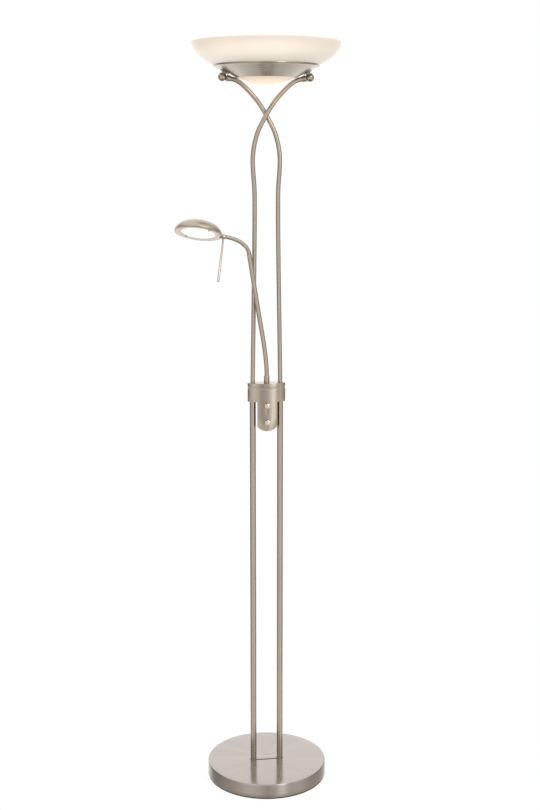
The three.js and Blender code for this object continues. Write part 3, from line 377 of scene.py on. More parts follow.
# Drawn tube is polished along its length, which draws long lights down it.
nickel_tube = nickel("satin_nickel_tube", (1.0, 1.0, 0.06))
hands = (("left", -1), ("right", 1))
pole_radius, pole_top = 7.5, 985
pole_bottom = plate_bottom + plate_thickness + 0.3
for hand, side in hands:
    pole = turned(
        f"drawn_lower_pole_{hand}",
        [(5.5, pole_bottom), (7.2, pole_bottom), (pole_radius, pole_bottom + 0.3), (pole_radius, 300),
         (pole_radius, 640), (pole_radius, pole_top), (5.8, pole_top)],
        sides=48, bridged=True,
    )
    laid(pole, (side * pole_x, 0, 0))
    fit(pole, nickel_tube, "satin_nickel", "stand", f"lower_pole_{hand}")


# Control housing: an oval band of nickel plated sheet steel, whose front runs down as a tongue
# that carries the two dimmer knobs. The band clasps both poles.
half_width, half_depth, housing_wall = 46.0, 18.0, 1.5
seam, band_bottom, tongue_bottom, under_tongue = 993.7, 962.0, 891.0, 885
knob_heights = {"upper": 954, "lower": 913}
arm_y = -6


def tongue_block(name, half_width, bottom, arc_radius, top, front, back):
    """A block in the form of a tongue, seen from the front: straight sides over an arc."""
    middle = bottom + arc_radius
    piece = new_piece(
        name, bpy.ops.mesh.primitive_circle_add,
        vertices=96, radius=arc_radius * MM, fill_type="NGON", rotation=(pi / 2, 0, 0),
        location=(0, front * MM, middle * MM),
    )
    bpy.ops.object.mode_set(mode="EDIT")
    pick(piece, lambda x, y, z: z > middle - 0.01)
    bpy.ops.transform.resize(value=(1, 1, 0), center_override=(0, 0, middle * MM))
    bpy.ops.transform.translate(value=(0, 0, (top - middle) * MM))
    for side in (-1, 1):
        bpy.ops.mesh.select_all(action="SELECT")
        bpy.ops.mesh.bisect(
            plane_co=(side * half_width * MM, 0, 0), plane_no=(side, 0, 0), clear_outer=True
        )
    bpy.ops.mesh.select_all(action="SELECT")
    bpy.ops.mesh.remove_doubles(threshold=0.01 * MM)
    bpy.ops.mesh.dissolve_limited(angle_limit=radians(0.5))
    bpy.ops.mesh.extrude_region_move(TRANSFORM_OT_translate={"value": (0, (back - front) * MM, 0)})
    return finished(piece)


def cut(piece, cutter, operation="DIFFERENCE"):
    """Cuts one piece by another, which is used up, and leaves the first one selected."""
    modifier = piece.modifiers.new("cut", "BOOLEAN")
    modifier.operation = operation
    modifier.object = cutter
    modifier.solver = "EXACT"
    bpy.context.view_layer.objects.active = piece
    bpy.ops.object.modifier_apply(modifier="cut")
    bpy.data.objects.remove(cutter)
    bpy.ops.object.select_all(action="DESELECT")
    piece.select_set(True)


def drill(piece, radius, depth, at, turn=(0, 0, 0), sides=32):
    """Drills a round hole, whose middle is at a point in millimetres, along a turned +Z."""
    cut(piece, finished(new_piece(
        "drill", bpy.ops.mesh.primitive_cylinder_add,
        vertices=sides, radius=radius * MM, depth=depth * MM, rotation=turn, location=Vector(at) * MM,
    )))


housing = turned(
    "pressed_control_housing",
    [(0, under_tongue), (0, 925), (0, band_bottom), (0, seam - 1.2), (1, seam), (housing_wall, seam),
     (housing_wall, under_tongue)],
    sides=128, bridged=True, oval=(half_width, half_depth),
)
band_room = finished(new_piece(
    "band_room", bpy.ops.mesh.primitive_cube_add,
    size=MM, location=(0, 0, (band_bottom + 18) * MM), scale=(100, 50, 36),
))
tongue_room = tongue_block(
    "tongue_room", half_width=23.9, bottom=tongue_bottom, arc_radius=33, top=970, front=-30, back=0
)
cut(band_room, tongue_room, "UNION")
cut(housing, band_room, "INTERSECT")
for height in knob_heights.values():
    drill(housing, radius=4, depth=10, at=(0, -half_depth, height), turn=(pi / 2, 0, 0), sides=24)
finished(housing, bevel=0.35)
# The scratches of sheet parts lie around them, level.
nickel_sheet = nickel("satin_nickel_sheet", (0.15, 0.15, 1.0))
fit(housing, nickel_sheet, "satin_nickel", "stand", "control_housing")

# The lid: a cap with one groove round it. A narrow gap over the band looks like a second groove.
lid_top = 1007.3
lid = turned(
    "grooved_housing_lid",
    [(1.8, 990.7), (1.8, 994.2), (1.8, 995.2), (0.3, 995.2), (0, 995.5), (0, 996.5), (1.1, 997.7),
     (1.3, 997.9), (1.3, 999.2), (0.4, 999.4), (0, 999.8), (0, 1006), (0.35, 1006.9), (1.1, lid_top),
     (6, lid_top), (16.5, lid_top)],
    sides=128, oval=(half_width, half_depth),
)
for x, y in ((-pole_x, 0), (pole_x, 0), (0, arm_y)):
    drill(lid, radius=5.8, depth=40, at=(x, y, 1005))
finished(lid)
fit(lid, nickel_sheet, "satin_nickel", "stand", "housing_lid")

# The dimmer box: dark moulded plastic, screwed in behind the tongue. The closing plate under the band
# is plain zinc plated sheet.
box = tongue_block(
    "moulded_dimmer_box", half_width=17, bottom=897, arc_radius=24, top=975, front=-17.8, back=6
)
box_room = turned(
    "box_room", [(1.8, 880), (1.8, 1000)], sides=128, oval=(half_width, half_depth)
)
cut(box, box_room, "INTERSECT")
finished(box, bevel=0.8, segments=3)
fit(box, dark_plastic, "black_plastic", "stand", "dimmer_box")

# Zinc plated steel: bluish grey and dull, with the flowers of its plating about 4 mm wide.
zinc_steel, tree, shader, place = start_material("zinc_plated_steel")
flowers = add_node(tree, "TexVoronoi", {"Vector": place, "Scale": 240.0})
fine = add_node(tree, "TexNoise", {"Vector": place, "Scale": 900.0, "Detail": 2.0})
plug(tree, shader, {
    "Base Color": add_node(
        tree, "Mix", {"Factor": flowers, 6: linear(0xA9ABAC), 7: linear(0xC0C2C2)}, data_type="RGBA"
    ),
    "Metallic": 1.0,
    "Roughness": add_node(tree, "MapRange", {"Value": fine, "To Min": 0.35, "To Max": 0.5}),
})
dress(
    zinc_steel, "housing_closing_plate", "pole_nipple_left", "pole_nipple_right", "pole_nut_left",
    "pole_nut_right", "arm_retaining_nut",
)
dress(dark_plastic, "dimmer_upper", "dimmer_lower")


# Dimmer knobs: turned brass, fluted and bright nickel plated, with a domed cap in the middle of the
# face. They push on the shafts of the two rotary dimmers.
knob_radius, knob_foot = 7.5, -18.7
flute_step, flute_reach = 2 * pi / 6, 5.5


def knob(name, height):
    """One knob, turned along +Z, fluted in edit mode and laid to point forwards at its height."""
    piece = turned(
        name,
        [(knob_radius, 0), (knob_radius, 4), (knob_radius, 8.6), (7.35, 9.3), (6.9, 9.9), (6.1, 10.3),
         (4.9, 10.5), (4.5, 10.2), (4.3, 9.9), (3.7, 9.9), (3.6, 10.6), (3.1, 11.4), (2.2, 11.8),
         (1.1, 12), (0, 12)],
        sides=96,
    )
    bpy.ops.object.mode_set(mode="EDIT")
    # Each flute is pressed in by steps, from its wide and shallow edge to its floor.
    for spread, depth in ((0.28, 0.3), (0.21, 0.6), (0.14, 0.75), (0.07, 0.45)):
        def in_flute(x, y, z):
            off = (atan2(y, x) / flute_step) % 1
            return hypot(x, y) > flute_reach and min(off, 1 - off) < spread
        pick(piece, in_flute)
        share = 1 - depth / knob_radius
        bpy.ops.transform.resize(value=(share, share, 1), center_override=(0, 0, 0))
    bpy.ops.object.mode_set(mode="OBJECT")
    laid(piece, (0, knob_foot, height), (0, -1, 0))
    bpy.ops.object.shade_smooth_by_angle(angle=radians(30))
    return piece


# Bright nickel plate: nearly a mirror and a little warm, with turning marks of 1.5 mm in its gloss.
bright_plate = grained("bright_nickel_plate", 700, 2, (0xE9E1D6,), (0.04, 0.12), Metallic=1.0)
for level, height in knob_heights.items():
    fit(knob(f"fluted_knob_{level}", height), bright_plate, "chrome", f"knob_{level}", f"knob_{level}")


# Upper tubes: two nickel plated steel tubes of 11 mm, bent cold. They lean in, swell out, cross
# with the left one in front, and end in the ferrules of the ball joints.
thin_tube_radius = 5.5
left_path = [
    (-33.3, 0, 971.3), (-33.3, 0, 1007.3), (-31.468, 0, 1133.34), (-28.538, 0, 1322.4),
    (-27.706, 0, 1416.93), (-28.138, 0, 1467.346), (-31.302, -0.376, 1511.46),
    (-32.035, -1.479, 1536.668), (-30.136, -2.809, 1558.725), (-25.641, -4.19, 1580.782),
    (-18.315, -5.331, 1602.839), (0, -6.1, 1637.5), (14.775, -4.38, 1661.02),
    (29.449, -1.85, 1678.996), (46.976, -0.146, 1696.972), (63.688, 0, 1710.58),
    (74.512, 0, 1715.678), (83.315, 0, 1717.55), (91.825, 0, 1719.359),
]


def bent_tube(name, path):
    """A thin tube bent through points: a Bezier curve with a round section, made a mesh."""
    points = [Vector(point) for point in path]
    ends = [2 * points[0] - points[1]] + points + [2 * points[-1] - points[-2]]
    piece = new_piece(name, bpy.ops.curve.primitive_bezier_curve_add)
    knots = piece.data.splines[0].bezier_points
    knots.add(len(points) - 2)
    for knot, point in zip(knots, points):
        knot.handle_left_type = knot.handle_right_type = "FREE"
        knot.co = point * MM
    for i in range(len(points) - 1):
        p0, p1, p2, p3 = ends[i:i + 4]
        d0, d1, d2 = ((b - a).length ** 0.5 for a, b in ((p0, p1), (p1, p2), (p2, p3)))
        leave = ((p1 - p0) / d0 - (p2 - p0) / (d0 + d1) + (p2 - p1) / d1) * d1
        reach = ((p2 - p1) / d1 - (p3 - p1) / (d1 + d2) + (p3 - p2) / d2) * d1
        knots[i].handle_right = (p1 + leave / 3) * MM
        knots[i + 1].handle_left = (p2 - reach / 3) * MM
    knots[0].handle_left = 2 * knots[0].co - knots[0].handle_right
    knots[-1].handle_right = 2 * knots[-1].co - knots[-1].handle_left
    piece.data.resolution_u = 10
    piece.data.bevel_depth = thin_tube_radius * MM
    piece.data.bevel_resolution = 5
    piece.data.use_fill_caps = True
    bpy.ops.object.convert(target="MESH")
    bpy.ops.object.mode_set(mode="EDIT")
    return finished(bpy.context.object)


# The right tube is the left one, turned half round.
for hand, side in hands:
    tube = bent_tube(f"bent_upper_tube_{hand}", [(-side * x, -side * y, z) for x, y, z in left_path])
    fit(tube, nickel_tube, "satin_nickel", "stand", f"upper_tube_{hand}")


# Cradle dish: an open cone of nickel plated sheet, spun on a lathe, with its lip turned up. The
# glass stands in it and shows through its middle.
dish = turned(
    "spun_cradle_dish",
    [(69, 1720.5), (69.1, 1720.2), (69.4, 1720.05), (70, 1720.35), (72, 1721.36), (80, 1725.4),
     (92, 1731.15), (104, 1736.85), (113, 1741.15), (118, 1743.55), (120, 1744.45), (121.4, 1744.95),
     (122.4, 1745.4), (122.9, 1745.9), (123.15, 1746.6), (123.2, 1747.6), (123.2, 1748.6), (123, 1749),
     (122.5, 1749), (122.2, 1748.6), (121.4, 1747.6), (120, 1746.3), (113, 1742.5), (92, 1732.5),
     (69.4, 1721.3), (69.1, 1721.1), (69, 1720.9)],
    sides=192, bridged=True, smooth=50,
)

# Spun nickel plate: rings of tool marks about a millimetre apart, so a light spreads into a short fan.
spun_nickel, tree, shader, place = start_material("spun_nickel_plate")
level_place = add_node(tree, "VectorMath", {0: place, 1: (1, 1, 0)}, operation="MULTIPLY")
out = add_node(tree, "VectorMath", {0: level_place}, operation="LENGTH")
marks = add_node(
    tree, "TexNoise", {"W": out, "Scale": 1000.0, "Detail": 2.0}, noise_dimensions="1D"
)
clouds = add_node(tree, "TexNoise", {"Vector": place, "Scale": 14.0, "Detail": 2.0})
plug(tree, shader, {
    "Base Color": add_node(
        tree, "Mix", {"Factor": clouds, 6: linear(0xADA497), 7: linear(0xB5ADA1)}, data_type="RGBA"
    ),
    "Metallic": 1.0,
    "Roughness": add_node(tree, "MapRange", {"Value": marks, "To Min": 0.25, "To Max": 0.29}),
    "Normal": add_node(tree, "Bump", {"Height": marks, "Strength": 0.01, "Distance": 0.0001}),
})
fit(dish, spun_nickel, "satin_nickel", "stand", "cradle_dish")


# Glass bowl: opal glass, sagged in a mould and frosted outside, 4 mm thick, with a fire polished
# rim. Its glow from the lamp in it is painted, strongest in front and behind.
glass_wall = 4
# The outside is three arcs that meet smoothly: (centre, radius, first angle, last angle, steps).
dome = ((0, 1849.84), 145, -90, -65.5, 12)
flank = ((-309.36, 2528.69), 891, -65.5, -59.5, 6)
rim = ((109.87, 1816.96), 65, -59.5, -16.5, 12)
outer = [point for centre, *bend in (dome, flank, rim) for point in arc(centre, *bend)[1:]]
inner = [
    point for centre, radius, start, end, steps in (rim, flank, dome)
    for point in arc(centre, radius - glass_wall, end, start, steps)[1:]
]
inner_rim_end = arc(rim[0], rim[1] - glass_wall, rim[3], rim[2], rim[4])[0]
lip_middle = [(a + b) / 2 for a, b in zip(outer[-1], inner_rim_end)]
lip = arc(lip_middle, glass_wall / 2, -16.5, 163.5, 8)
bowl_bottom = 1704.84
bowl = turned(
    "sagged_glass_bowl",
    [(0, bowl_bottom)] + outer[:-1] + lip + inner[:-1] + [(0, bowl_bottom + glass_wall)],
    sides=192, smooth=60,
)
# Which points lie on the inside, where the painted glow is dimmer, as the lamp's light is spread over a
# wider surface.
inside = bowl.data.attributes.new("inside", "FLOAT", "POINT")
inner_outline = [inner_rim_end] + inner
for point, mark in zip(bowl.data.vertices, inside.data):
    across, up = point.co.xy.length / MM, point.co.z / MM
    mark.value = float(min(abs(across - r) + abs(up - h) for r, h in inner_outline) < 0.05)

# Opal glass: white glass that scatters the light inside it, so it glows evenly and is soft at its edges.
# The glow is a painted glow: warm and strongest near the linear lamp, whose light goes out square to its
# length.
opal_glass, tree, shader, place = start_material("frosted_opal_glass")
parts = add_node(tree, "SeparateXYZ", {"Vector": place})
glow_middle = (-0.022, 0, 1.773)
from_lamp = add_node(tree, "VectorMath", {0: place, 1: glow_middle}, operation="SUBTRACT")
drawn = add_node(tree, "VectorMath", {0: from_lamp, 1: (6.0, 0.0, 40.0)}, operation="MULTIPLY")
spot = add_node(
    tree, "MapRange",
    {"Value": add_node(tree, "VectorMath", {0: drawn}, operation="LENGTH"),
     "From Max": 1.3, "To Min": 1.0, "To Max": 0.0},
    interpolation_type="SMOOTHERSTEP",
)
rise = add_node(
    tree, "MapRange", {"Value": parts.outputs["Z"], "From Min": 1.755, "From Max": 1.795},
    interpolation_type="SMOOTHSTEP",
)
# The bottom shows through the dish, right under the lamp, and its painted glow is a little stronger in
# its middle.
under = add_node(
    tree, "VectorMath", {0: place, 1: (20.0, 20.0, 30.0), 2: (0.0, 0.0, -51.1)},
    operation="MULTIPLY_ADD",
)
cap = add_node(
    tree, "MapRange",
    {"Value": add_node(tree, "VectorMath", {0: under}, operation="LENGTH"),
     "From Min": 0.7, "From Max": 1.9, "To Min": 0.35, "To Max": 0.0},
    interpolation_type="SMOOTHSTEP",
)
painted_glow = add_node(tree, "Math", {0: rise, 1: 0.03, 2: cap}, operation="MULTIPLY_ADD")
# Towards the two ends of the lamp the painted glow doesn't fall as far, least on the left.
for near, far, gain in ((0.05, 0.13, 0.06), (-0.05, -0.13, 0.12)):
    end = add_node(
        tree, "MapRange",
        {"Value": parts.outputs["X"], "From Min": near, "From Max": far, "To Max": gain},
        interpolation_type="SMOOTHSTEP",
    )
    painted_glow = add_node(tree, "Math", {0: painted_glow, 1: end}, operation="ADD")
painted_glow = add_node(tree, "Math", {0: spot, 1: 0.29, 2: painted_glow}, operation="MULTIPLY_ADD")
painted_glow = add_node(tree, "Math", {0: painted_glow, 1: 0.22}, operation="ADD")
# The painted glow is dimmer on the inside, and thin clouds in the glass vary it a little.
on_inside = add_node(tree, "Attribute", attribute_name="inside").outputs["Fac"]
clouds = add_node(tree, "TexNoise", {"Vector": place, "Scale": 22.0, "Detail": 3.0})
for share in (
    add_node(tree, "MapRange", {"Value": on_inside, "To Min": 1.0, "To Max": 0.3}),
    add_node(tree, "MapRange", {"Value": clouds, "To Min": 0.97, "To Max": 1.03}),
):
    painted_glow = add_node(tree, "Math", {0: painted_glow, 1: share}, operation="MULTIPLY")
warm = add_node(tree, "Math", {0: rise, 1: 0.5}, operation="MULTIPLY")
warm = add_node(
    tree, "Math", {0: cap, 1: 8.0, 2: warm}, operation="MULTIPLY_ADD", use_clamp=True
)
frost = add_node(tree, "TexNoise", {"Vector": place, "Scale": 1500.0, "Detail": 2.0})
plug(tree, shader, {
    "Base Color": linear(0xD2CDC4),
    "Roughness": add_node(tree, "MapRange", {"Value": frost, "To Min": 0.38, "To Max": 0.55}),
    "IOR": 1.5,
    # Emission paints the glow of the lamp's light through the glass.
    "Emission Color": add_node(
        tree, "Mix", {"Factor": warm, 6: linear(0xF8F0E4), 7: linear(0xFFDCC0)}, data_type="RGBA"
    ),
    "Emission Strength": painted_glow,
})
fit(bowl, opal_glass, "opal_glass", "stand", "glass_bowl")


# Ball joints: on each tube's end a turned ferrule, then a ball, and a flared neck that hangs square
# under the dish. A hollow nipple runs through them, the dish and the glass, and a nut draws all tight.
ball_x, ball_height, ball_radius = 101.9, 1721.5, 10
dish_angle, tube_angle = radians(25.5), radians(12)
for hand, side in hands:
    centre = (side * ball_x, 0, ball_height)
    square = (-side * sin(dish_angle), 0, cos(dish_angle))
    inward = (-side * cos(tube_angle), 0, -sin(tube_angle))
    ball = turned(
        f"turned_ball_{hand}",
        [(0, -ball_radius)] + arc((0, 0), ball_radius, -85, 60, 26) + [(4.4, 8.9), (0, 8.9)],
        smooth=40,
    )
    fit(laid(ball, centre, square), nickel_sheet, "satin_nickel", "stand", f"ball_joint_{hand}")
    neck = turned(
        f"turned_neck_{hand}",
        [(5.3, 9.4), (6.0, 9.4), (6.2, 9.7), (6.2, 10.2), (6.6, 10.7), (7.6, 11.1), (9.4, 11.4),
         (10.8, 11.6), (11, 11.9), (11, 12.4), (10.7, 12.7), (5.3, 12.7)],
        bridged=True,
    )
    fit(laid(neck, centre, square), nickel_sheet, "satin_nickel", "stand", f"neck_flange_{hand}")
    ferrule = turned(
        f"turned_ferrule_{hand}",
        [(6.1, 9.6), (6.9, 9.6), (7.2, 10), (7.2, 10.9), (7.6, 11.05), (8, 11.4), (8, 11.8),
         (7.6, 12.15), (7.2, 12.4), (7.2, 13.2), (6.9, 13.6), (6.8, 14.6), (6.5, 18.8), (6.2, 19.3),
         (5.6, 19.3)],
        bridged=True,
    )
    fit(laid(ferrule, centre, inward), nickel_sheet, "satin_nickel", "stand", f"tube_ferrule_{hand}")
dress(zinc_steel, "bowl_nipple_left", "bowl_nipple_right", "bowl_nut_left", "bowl_nut_right")

# Silicone: milky and soft, with a faint bloom of 2.5 mm in its gloss.
silicone = grained("moulded_silicone", 400, 2, (0xD5D0C6, 0xE0DBD2), (0.5, 0.7), IOR=1.41)
dress(silicone, "glass_washer_left", "glass_washer_right")


# Lamp bracket: a strap of zinc plated steel, bent four times. It lies under both nuts and lifts
# the lamp holders over the glass. A hole in its middle passes the lead.
bends = [(-101.7, 1746.7), (-83.2, 1737.3), (-73.6, 1751.3), (73.6, 1751.3), (83.2, 1737.3),
         (101.7, 1746.7)]
strap_half_width, strap_sheet = 10, 1.5
bracket = new_piece(
    "bent_lamp_bracket", bpy.ops.mesh.primitive_plane_add,
    size=2 * strap_half_width * MM, location=(bends[0][0] * MM, 0, bends[0][1] * MM),
)
bpy.ops.object.mode_set(mode="EDIT")
pick(bracket, lambda x, y, z: x > bends[0][0])
bpy.ops.mesh.delete(type="VERT")
bpy.ops.mesh.select_all(action="SELECT")
bpy.ops.transform.translate(value=(strap_half_width * MM, 0, 0))
for near, far in zip(bends, bends[1:]):
    reach = ((far[0] - near[0]) * MM, 0, (far[1] - near[1]) * MM)
    bpy.ops.mesh.extrude_region_move(TRANSFORM_OT_translate={"value": reach})
bpy.ops.mesh.select_all(action="SELECT")
bpy.ops.mesh.normals_make_consistent(inside=False)
bpy.ops.object.mode_set(mode="OBJECT")
strap = bracket.modifiers.new("strap", "SOLIDIFY")
strap.thickness = strap_sheet * MM
strap.offset = 0
bpy.ops.object.modifier_apply(modifier="strap")
drill(bracket, radius=3, depth=20, at=(0, 0, 1751), sides=24)
finished(bracket, bevel=0.3)
fit(bracket, zinc_steel, "zinc_plated_steel", "stand", "lamp_bracket")

# Lamp holders: dry pressed ceramic, off white with faint stains about 8 mm wide and a fine gritty face.
# Each has softly broken edges, a round socket and a chamfered back.
lamp_height, holder_x, holder_height, holder_size = 1776, 62.3, 1768.65, (15, 16, 32.7)
ceramic, tree, shader, place = start_material("pressed_ceramic")
grit = add_node(tree, "TexNoise", {"Vector": place, "Scale": 1200.0, "Detail": 3.0})
stain = add_node(tree, "TexNoise", {"Vector": place, "Scale": 120.0, "Detail": 2.0})
plug(tree, shader, {
    "Base Color": add_node(
        tree, "Mix", {"Factor": stain, 6: linear(0xE2DED2), 7: linear(0xF0EDE4)}, data_type="RGBA"
    ),
    "Roughness": 0.6,
    "IOR": 1.55,
    "Normal": add_node(tree, "Bump", {"Height": grit, "Strength": 0.3, "Distance": 0.0001}),
})
for hand, side in hands:
    holder = new_piece(
        f"ceramic_lamp_holder_{hand}", bpy.ops.mesh.primitive_cube_add,
        size=MM, location=(side * holder_x * MM, 0, holder_height * MM), scale=holder_size,
    )
    bpy.ops.object.mode_set(mode="EDIT")
    pick(holder, lambda x, y, z: side * x > 69 and z > 1784)
    bpy.ops.mesh.bevel(offset=5 * MM, segments=1, affect="EDGES")
    finished(holder, bevel=0.7)
    drill(holder, radius=4.1, depth=9, at=(side * 54.5, 0, lamp_height), turn=(0, pi / 2, 0))
    fit(holder, ceramic, "ceramic", "stand", f"lamp_holder_{hand}")

# Linear halogen lamp: a quartz tube drawn down over a ceramic cap at each end, lit from within.
lamp_end = [(5, 43.6), (4.2, 45.6), (2.6, 47.6), (3.2, 48.4), (3.6, 49), (3.6, 57.8), (3.2, 58.2),
            (0, 58.2)]
linear_lamp = turned(
    "linear_quartz_lamp", [(radius, -along) for radius, along in reversed(lamp_end)] + lamp_end,
    sides=40,
)
laid(linear_lamp, (0, 0, lamp_height), (1, 0, 0))

# Quartz glass with the lit filament behind it: a hot white core that fades towards the ends.
lit_quartz, tree, shader, place = start_material("lit_quartz_glass")
parts = add_node(tree, "SeparateXYZ", {"Vector": place})
off = add_node(tree, "Math", {0: parts.outputs["X"]}, operation="ABSOLUTE")
plug(tree, shader, {
    "Base Color": linear(0xE9E4DA),
    "Roughness": 0.15,
    "IOR": 1.46,
    "Emission Color": linear(0xFFF1DC),
    "Emission Strength": add_node(
        tree, "MapRange",
        {"Value": off, "From Min": 0.036, "From Max": 0.047, "To Min": 1.2, "To Max": 0.0},
        interpolation_type="SMOOTHSTEP",
    ),
})
fit(linear_lamp, lit_quartz, "clear_glass", "stand", "linear_halogen_lamp")


# Reading arm: a collar fixed on the lid, and a bent tube of 11 mm that turns in it. Inside, a nut
# keeps the tube from lifting out.
collar = turned(
    "turned_arm_collar",
    [(5.7, 1007.5), (6.7, 1007.5), (6.9, 1007.8), (6.9, 1023.4), (6.7, 1024.2), (6.1, 1025.2),
     (5.7, 1025.3)],
    sides=48, bridged=True,
)
fit(laid(collar, (0, arm_y, 0)), nickel_tube, "satin_nickel", "stand", "arm_collar")
arm_end = (-43.252, -17.589, 1318.4)
arm = bent_tube("bent_arm_tube", [
    (0, arm_y, 992), (0, arm_y, 1023.5), (0, arm_y, 1033), (-3.613, -6.968, 1077),
    (-21.626, -11.795, 1186.7), (-39.64, -16.621, 1296.4), arm_end,
])
fit(arm, nickel_tube, "satin_nickel", "reading_arm", "arm_tube")


# Flexible neck: a hose wound from nickel plated steel wire, whose turns show as fine ribs. It stays
# where it is bent. It is made straight, in five lengths, and laid along its curve.
hose_length, links, ribs = 72.436, 5, 8
link_length, link_gap, collar_radius = hose_length / links, 0.55, 4.35
# A rib's section: (radius, share of the rib's pitch).
rib_section = [(4.78, 0), (4.9, 0.14), (4.98, 0.32), (5, 0.5), (4.98, 0.68), (4.9, 0.86)]
neck_line = new_piece("neck_line", bpy.ops.curve.primitive_bezier_curve_add)
neck_line.data.resolution_u = 64
near, far = neck_line.data.splines[0].bezier_points
for knot in (near, far):
    knot.handle_left_type = knot.handle_right_type = "FREE"
near.co = Vector(arm_end) * MM
near.handle_right = Vector((-46.568, -18.478, 1338.596)) * MM
far.handle_left = Vector((-70.106, -24.536, 1352.92)) * MM
far.co = Vector((-98.311, -26.015, 1357.9)) * MM
near.handle_left = 2 * near.co - near.handle_right
far.handle_right = 2 * far.co - far.handle_left
for link in range(links):
    start = link * link_length + (0.3 if link == 0 else link_gap)
    end = (link + 1) * link_length - link_gap
    pitch = (end - start) / ribs
    outline = [(r, start + (rib + share) * pitch) for rib in range(ribs) for r, share in rib_section]
    # Each link but the last ends in a collar, which shows between it and the next one as it bends.
    collar_end = collar_radius if link < links - 1 else 3
    outline += [
        (4.78, end), (collar_end + 0.05, end + 0.02), (collar_end, end + 0.85), (2.9, end + 0.9),
        (2.6, end + 1.8), (1.1, end + 2.6), (1.1, start + 5), (3.2, start + 4.9), (3.2, start + 0.8),
        (4.55, start + 0.78), (4.6, start),
    ]
    piece = turned(f"wound_neck_link_{link + 1}", outline, sides=32, bridged=True, smooth=50)
    bend = piece.modifiers.new("bend", "CURVE")
    bend.object = neck_line
    bend.deform_axis = "POS_Z"
    bpy.ops.object.modifier_apply(modifier="bend")
    body = "reading_arm" if link == 0 else f"neck_link_{link + 1}"
    fit(piece, nickel_sheet, "satin_nickel", body, f"flexible_neck_{link + 1}")
bpy.data.objects.remove(neck_line)


# Reading head: a shallow dome of spun and nickel plated sheet over a flat rim ring, which holds the
# lens with two clips. The neck block joins it to the hose, and a tapered rod below aims it.
head_radius, head_rise, shell_wall = 56, 30, 1.2
head_place = Matrix((
    (0.9835, -0.105, 0.1477, -0.162679),
    (0.0515, 0.944, 0.3271, -0.030346),
    (-0.1736, -0.314, 0.9334, 1.366387),
    (0, 0, 0, 1),
))


def on_head(piece):
    """Moves a piece from the head's own axes, with the dome along +Z, to its place on the lamp."""
    piece.matrix_world = head_place
    bpy.ops.object.transform_apply(location=True, rotation=True, scale=True)
    return piece


inner_rise = head_rise - shell_wall
head_shell = turned(
    "spun_head_shell",
    [(0, head_rise)] + arc((0, 0), head_radius, 86, 4, 24, rise=head_rise)
    + [(head_radius, 0.9), (head_radius, 0.2), (55.7, 0), (55, 0.1)]
    + arc((0, 0), head_radius - shell_wall, 3, 86, 18, rise=inner_rise) + [(0, inner_rise)],
    sides=128, smooth=60,
)
# The shell is brushed after spinning, so it is duller than the dish.
nickel_shell = nickel("brushed_nickel_shell", (0.2, 0.2, 1.0), dull=0.12)
fit(on_head(head_shell), nickel_shell, "satin_nickel", "reading_head", "head_shell")
rim_ring = turned(
    "pressed_rim_ring",
    [(40.5, 1.2), (40.5, 0.3), (40.8, 0), (46, -0.1), (54.2, 0), (54.7, 0.3), (54.7, 1.4), (40.8, 1.4)],
    sides=128, bridged=True,
)
fit(on_head(rim_ring), nickel_sheet, "satin_nickel", "reading_head", "head_rim_ring")

lens = turned(
    "moulded_lens",
    [(0, -0.9), (12, -0.85), (24, -0.6), (34, -0.2), (39.2, 0.15), (40.1, 0.6), (40.1, 3), (0, 3)],
    sides=128,
)
# Moulded opal lens: even milky white, with moulded prisms of 2 mm. Its light from the capsule lamp
# behind it is a painted glow, which the prisms vary a little.
lit_lens, tree, shader, place = start_material("lit_opal_lens")
prisms = add_node(tree, "TexNoise", {"Vector": place, "Scale": 500.0, "Detail": 2.0})
plug(tree, shader, {
    "Base Color": linear(0xF4EFE6),
    "Roughness": add_node(tree, "MapRange", {"Value": prisms, "To Min": 0.2, "To Max": 0.35}),
    "IOR": 1.49,
    "Emission Color": linear(0xFFF8EC),
    "Emission Strength": add_node(tree, "MapRange", {"Value": prisms, "To Min": 0.42, "To Max": 0.46}),
})
fit(on_head(lens), lit_lens, "opal_glass", "reading_head", "head_lens")

# The two clips: a tab of bright plated sheet with rounded inner corners, under a round screw head.
tab_out, screw_out = 43.4, 44.4
for hand, angle in (("near", -62), ("far", 118)):
    tab = new_piece(
        f"pressed_lens_clip_{hand}", bpy.ops.mesh.primitive_cube_add,
        size=MM, location=(tab_out * MM, 0, -0.75 * MM), scale=(9, 5.2, 0.9),
    )
    bpy.ops.object.mode_set(mode="EDIT")
    pick(tab, lambda x, y, z: x < 40 and abs(y) > 2)
    bpy.ops.mesh.bevel(offset=2 * MM, segments=4, affect="EDGES")
    finished(tab, bevel=0.15)
    screw = turned(
        f"clip_screw_{hand}",
        [(0, -2.05), (0.9, -2.0), (1.5, -1.85), (1.9, -1.5), (2, -1.2), (2, -0.9), (0, -0.9)], sides=24,
    )
    screw.location.x = screw_out * MM
    tab.select_set(True)
    bpy.context.view_layer.objects.active = tab
    bpy.ops.object.join()
    tab.rotation_euler.z = radians(angle)
    bpy.ops.object.transform_apply(rotation=True)
    fit(on_head(tab), bright_plate, "chrome", "reading_head", f"lens_clip_{hand}")

neck_block = turned(
    "turned_neck_block",
    [(0, 51), (5.4, 51), (5.6, 51.3), (5.6, 63.6), (5.3, 64.2), (4.8, 64.6), (3.3, 64.7), (3.3, 60),
     (0, 60)],
    sides=48,
)
laid(neck_block, (0, 0, 3), (1, 0, 0))
fit(on_head(neck_block), nickel_tube, "satin_nickel", "reading_head", "head_neck_block")
handle_out = 59.4
handle = turned(
    "tapered_handle",
    [(0, -106.9), (1.4, -106.6), (2.5, -105.7), (3.05, -104.4), (3.1, -103.6), (2.2, -3.2), (2, -2.9),
     (1.5, -2.8), (1.5, 0), (0, 0)],
    sides=32,
)
laid(handle, (handle_out, 0, 0))
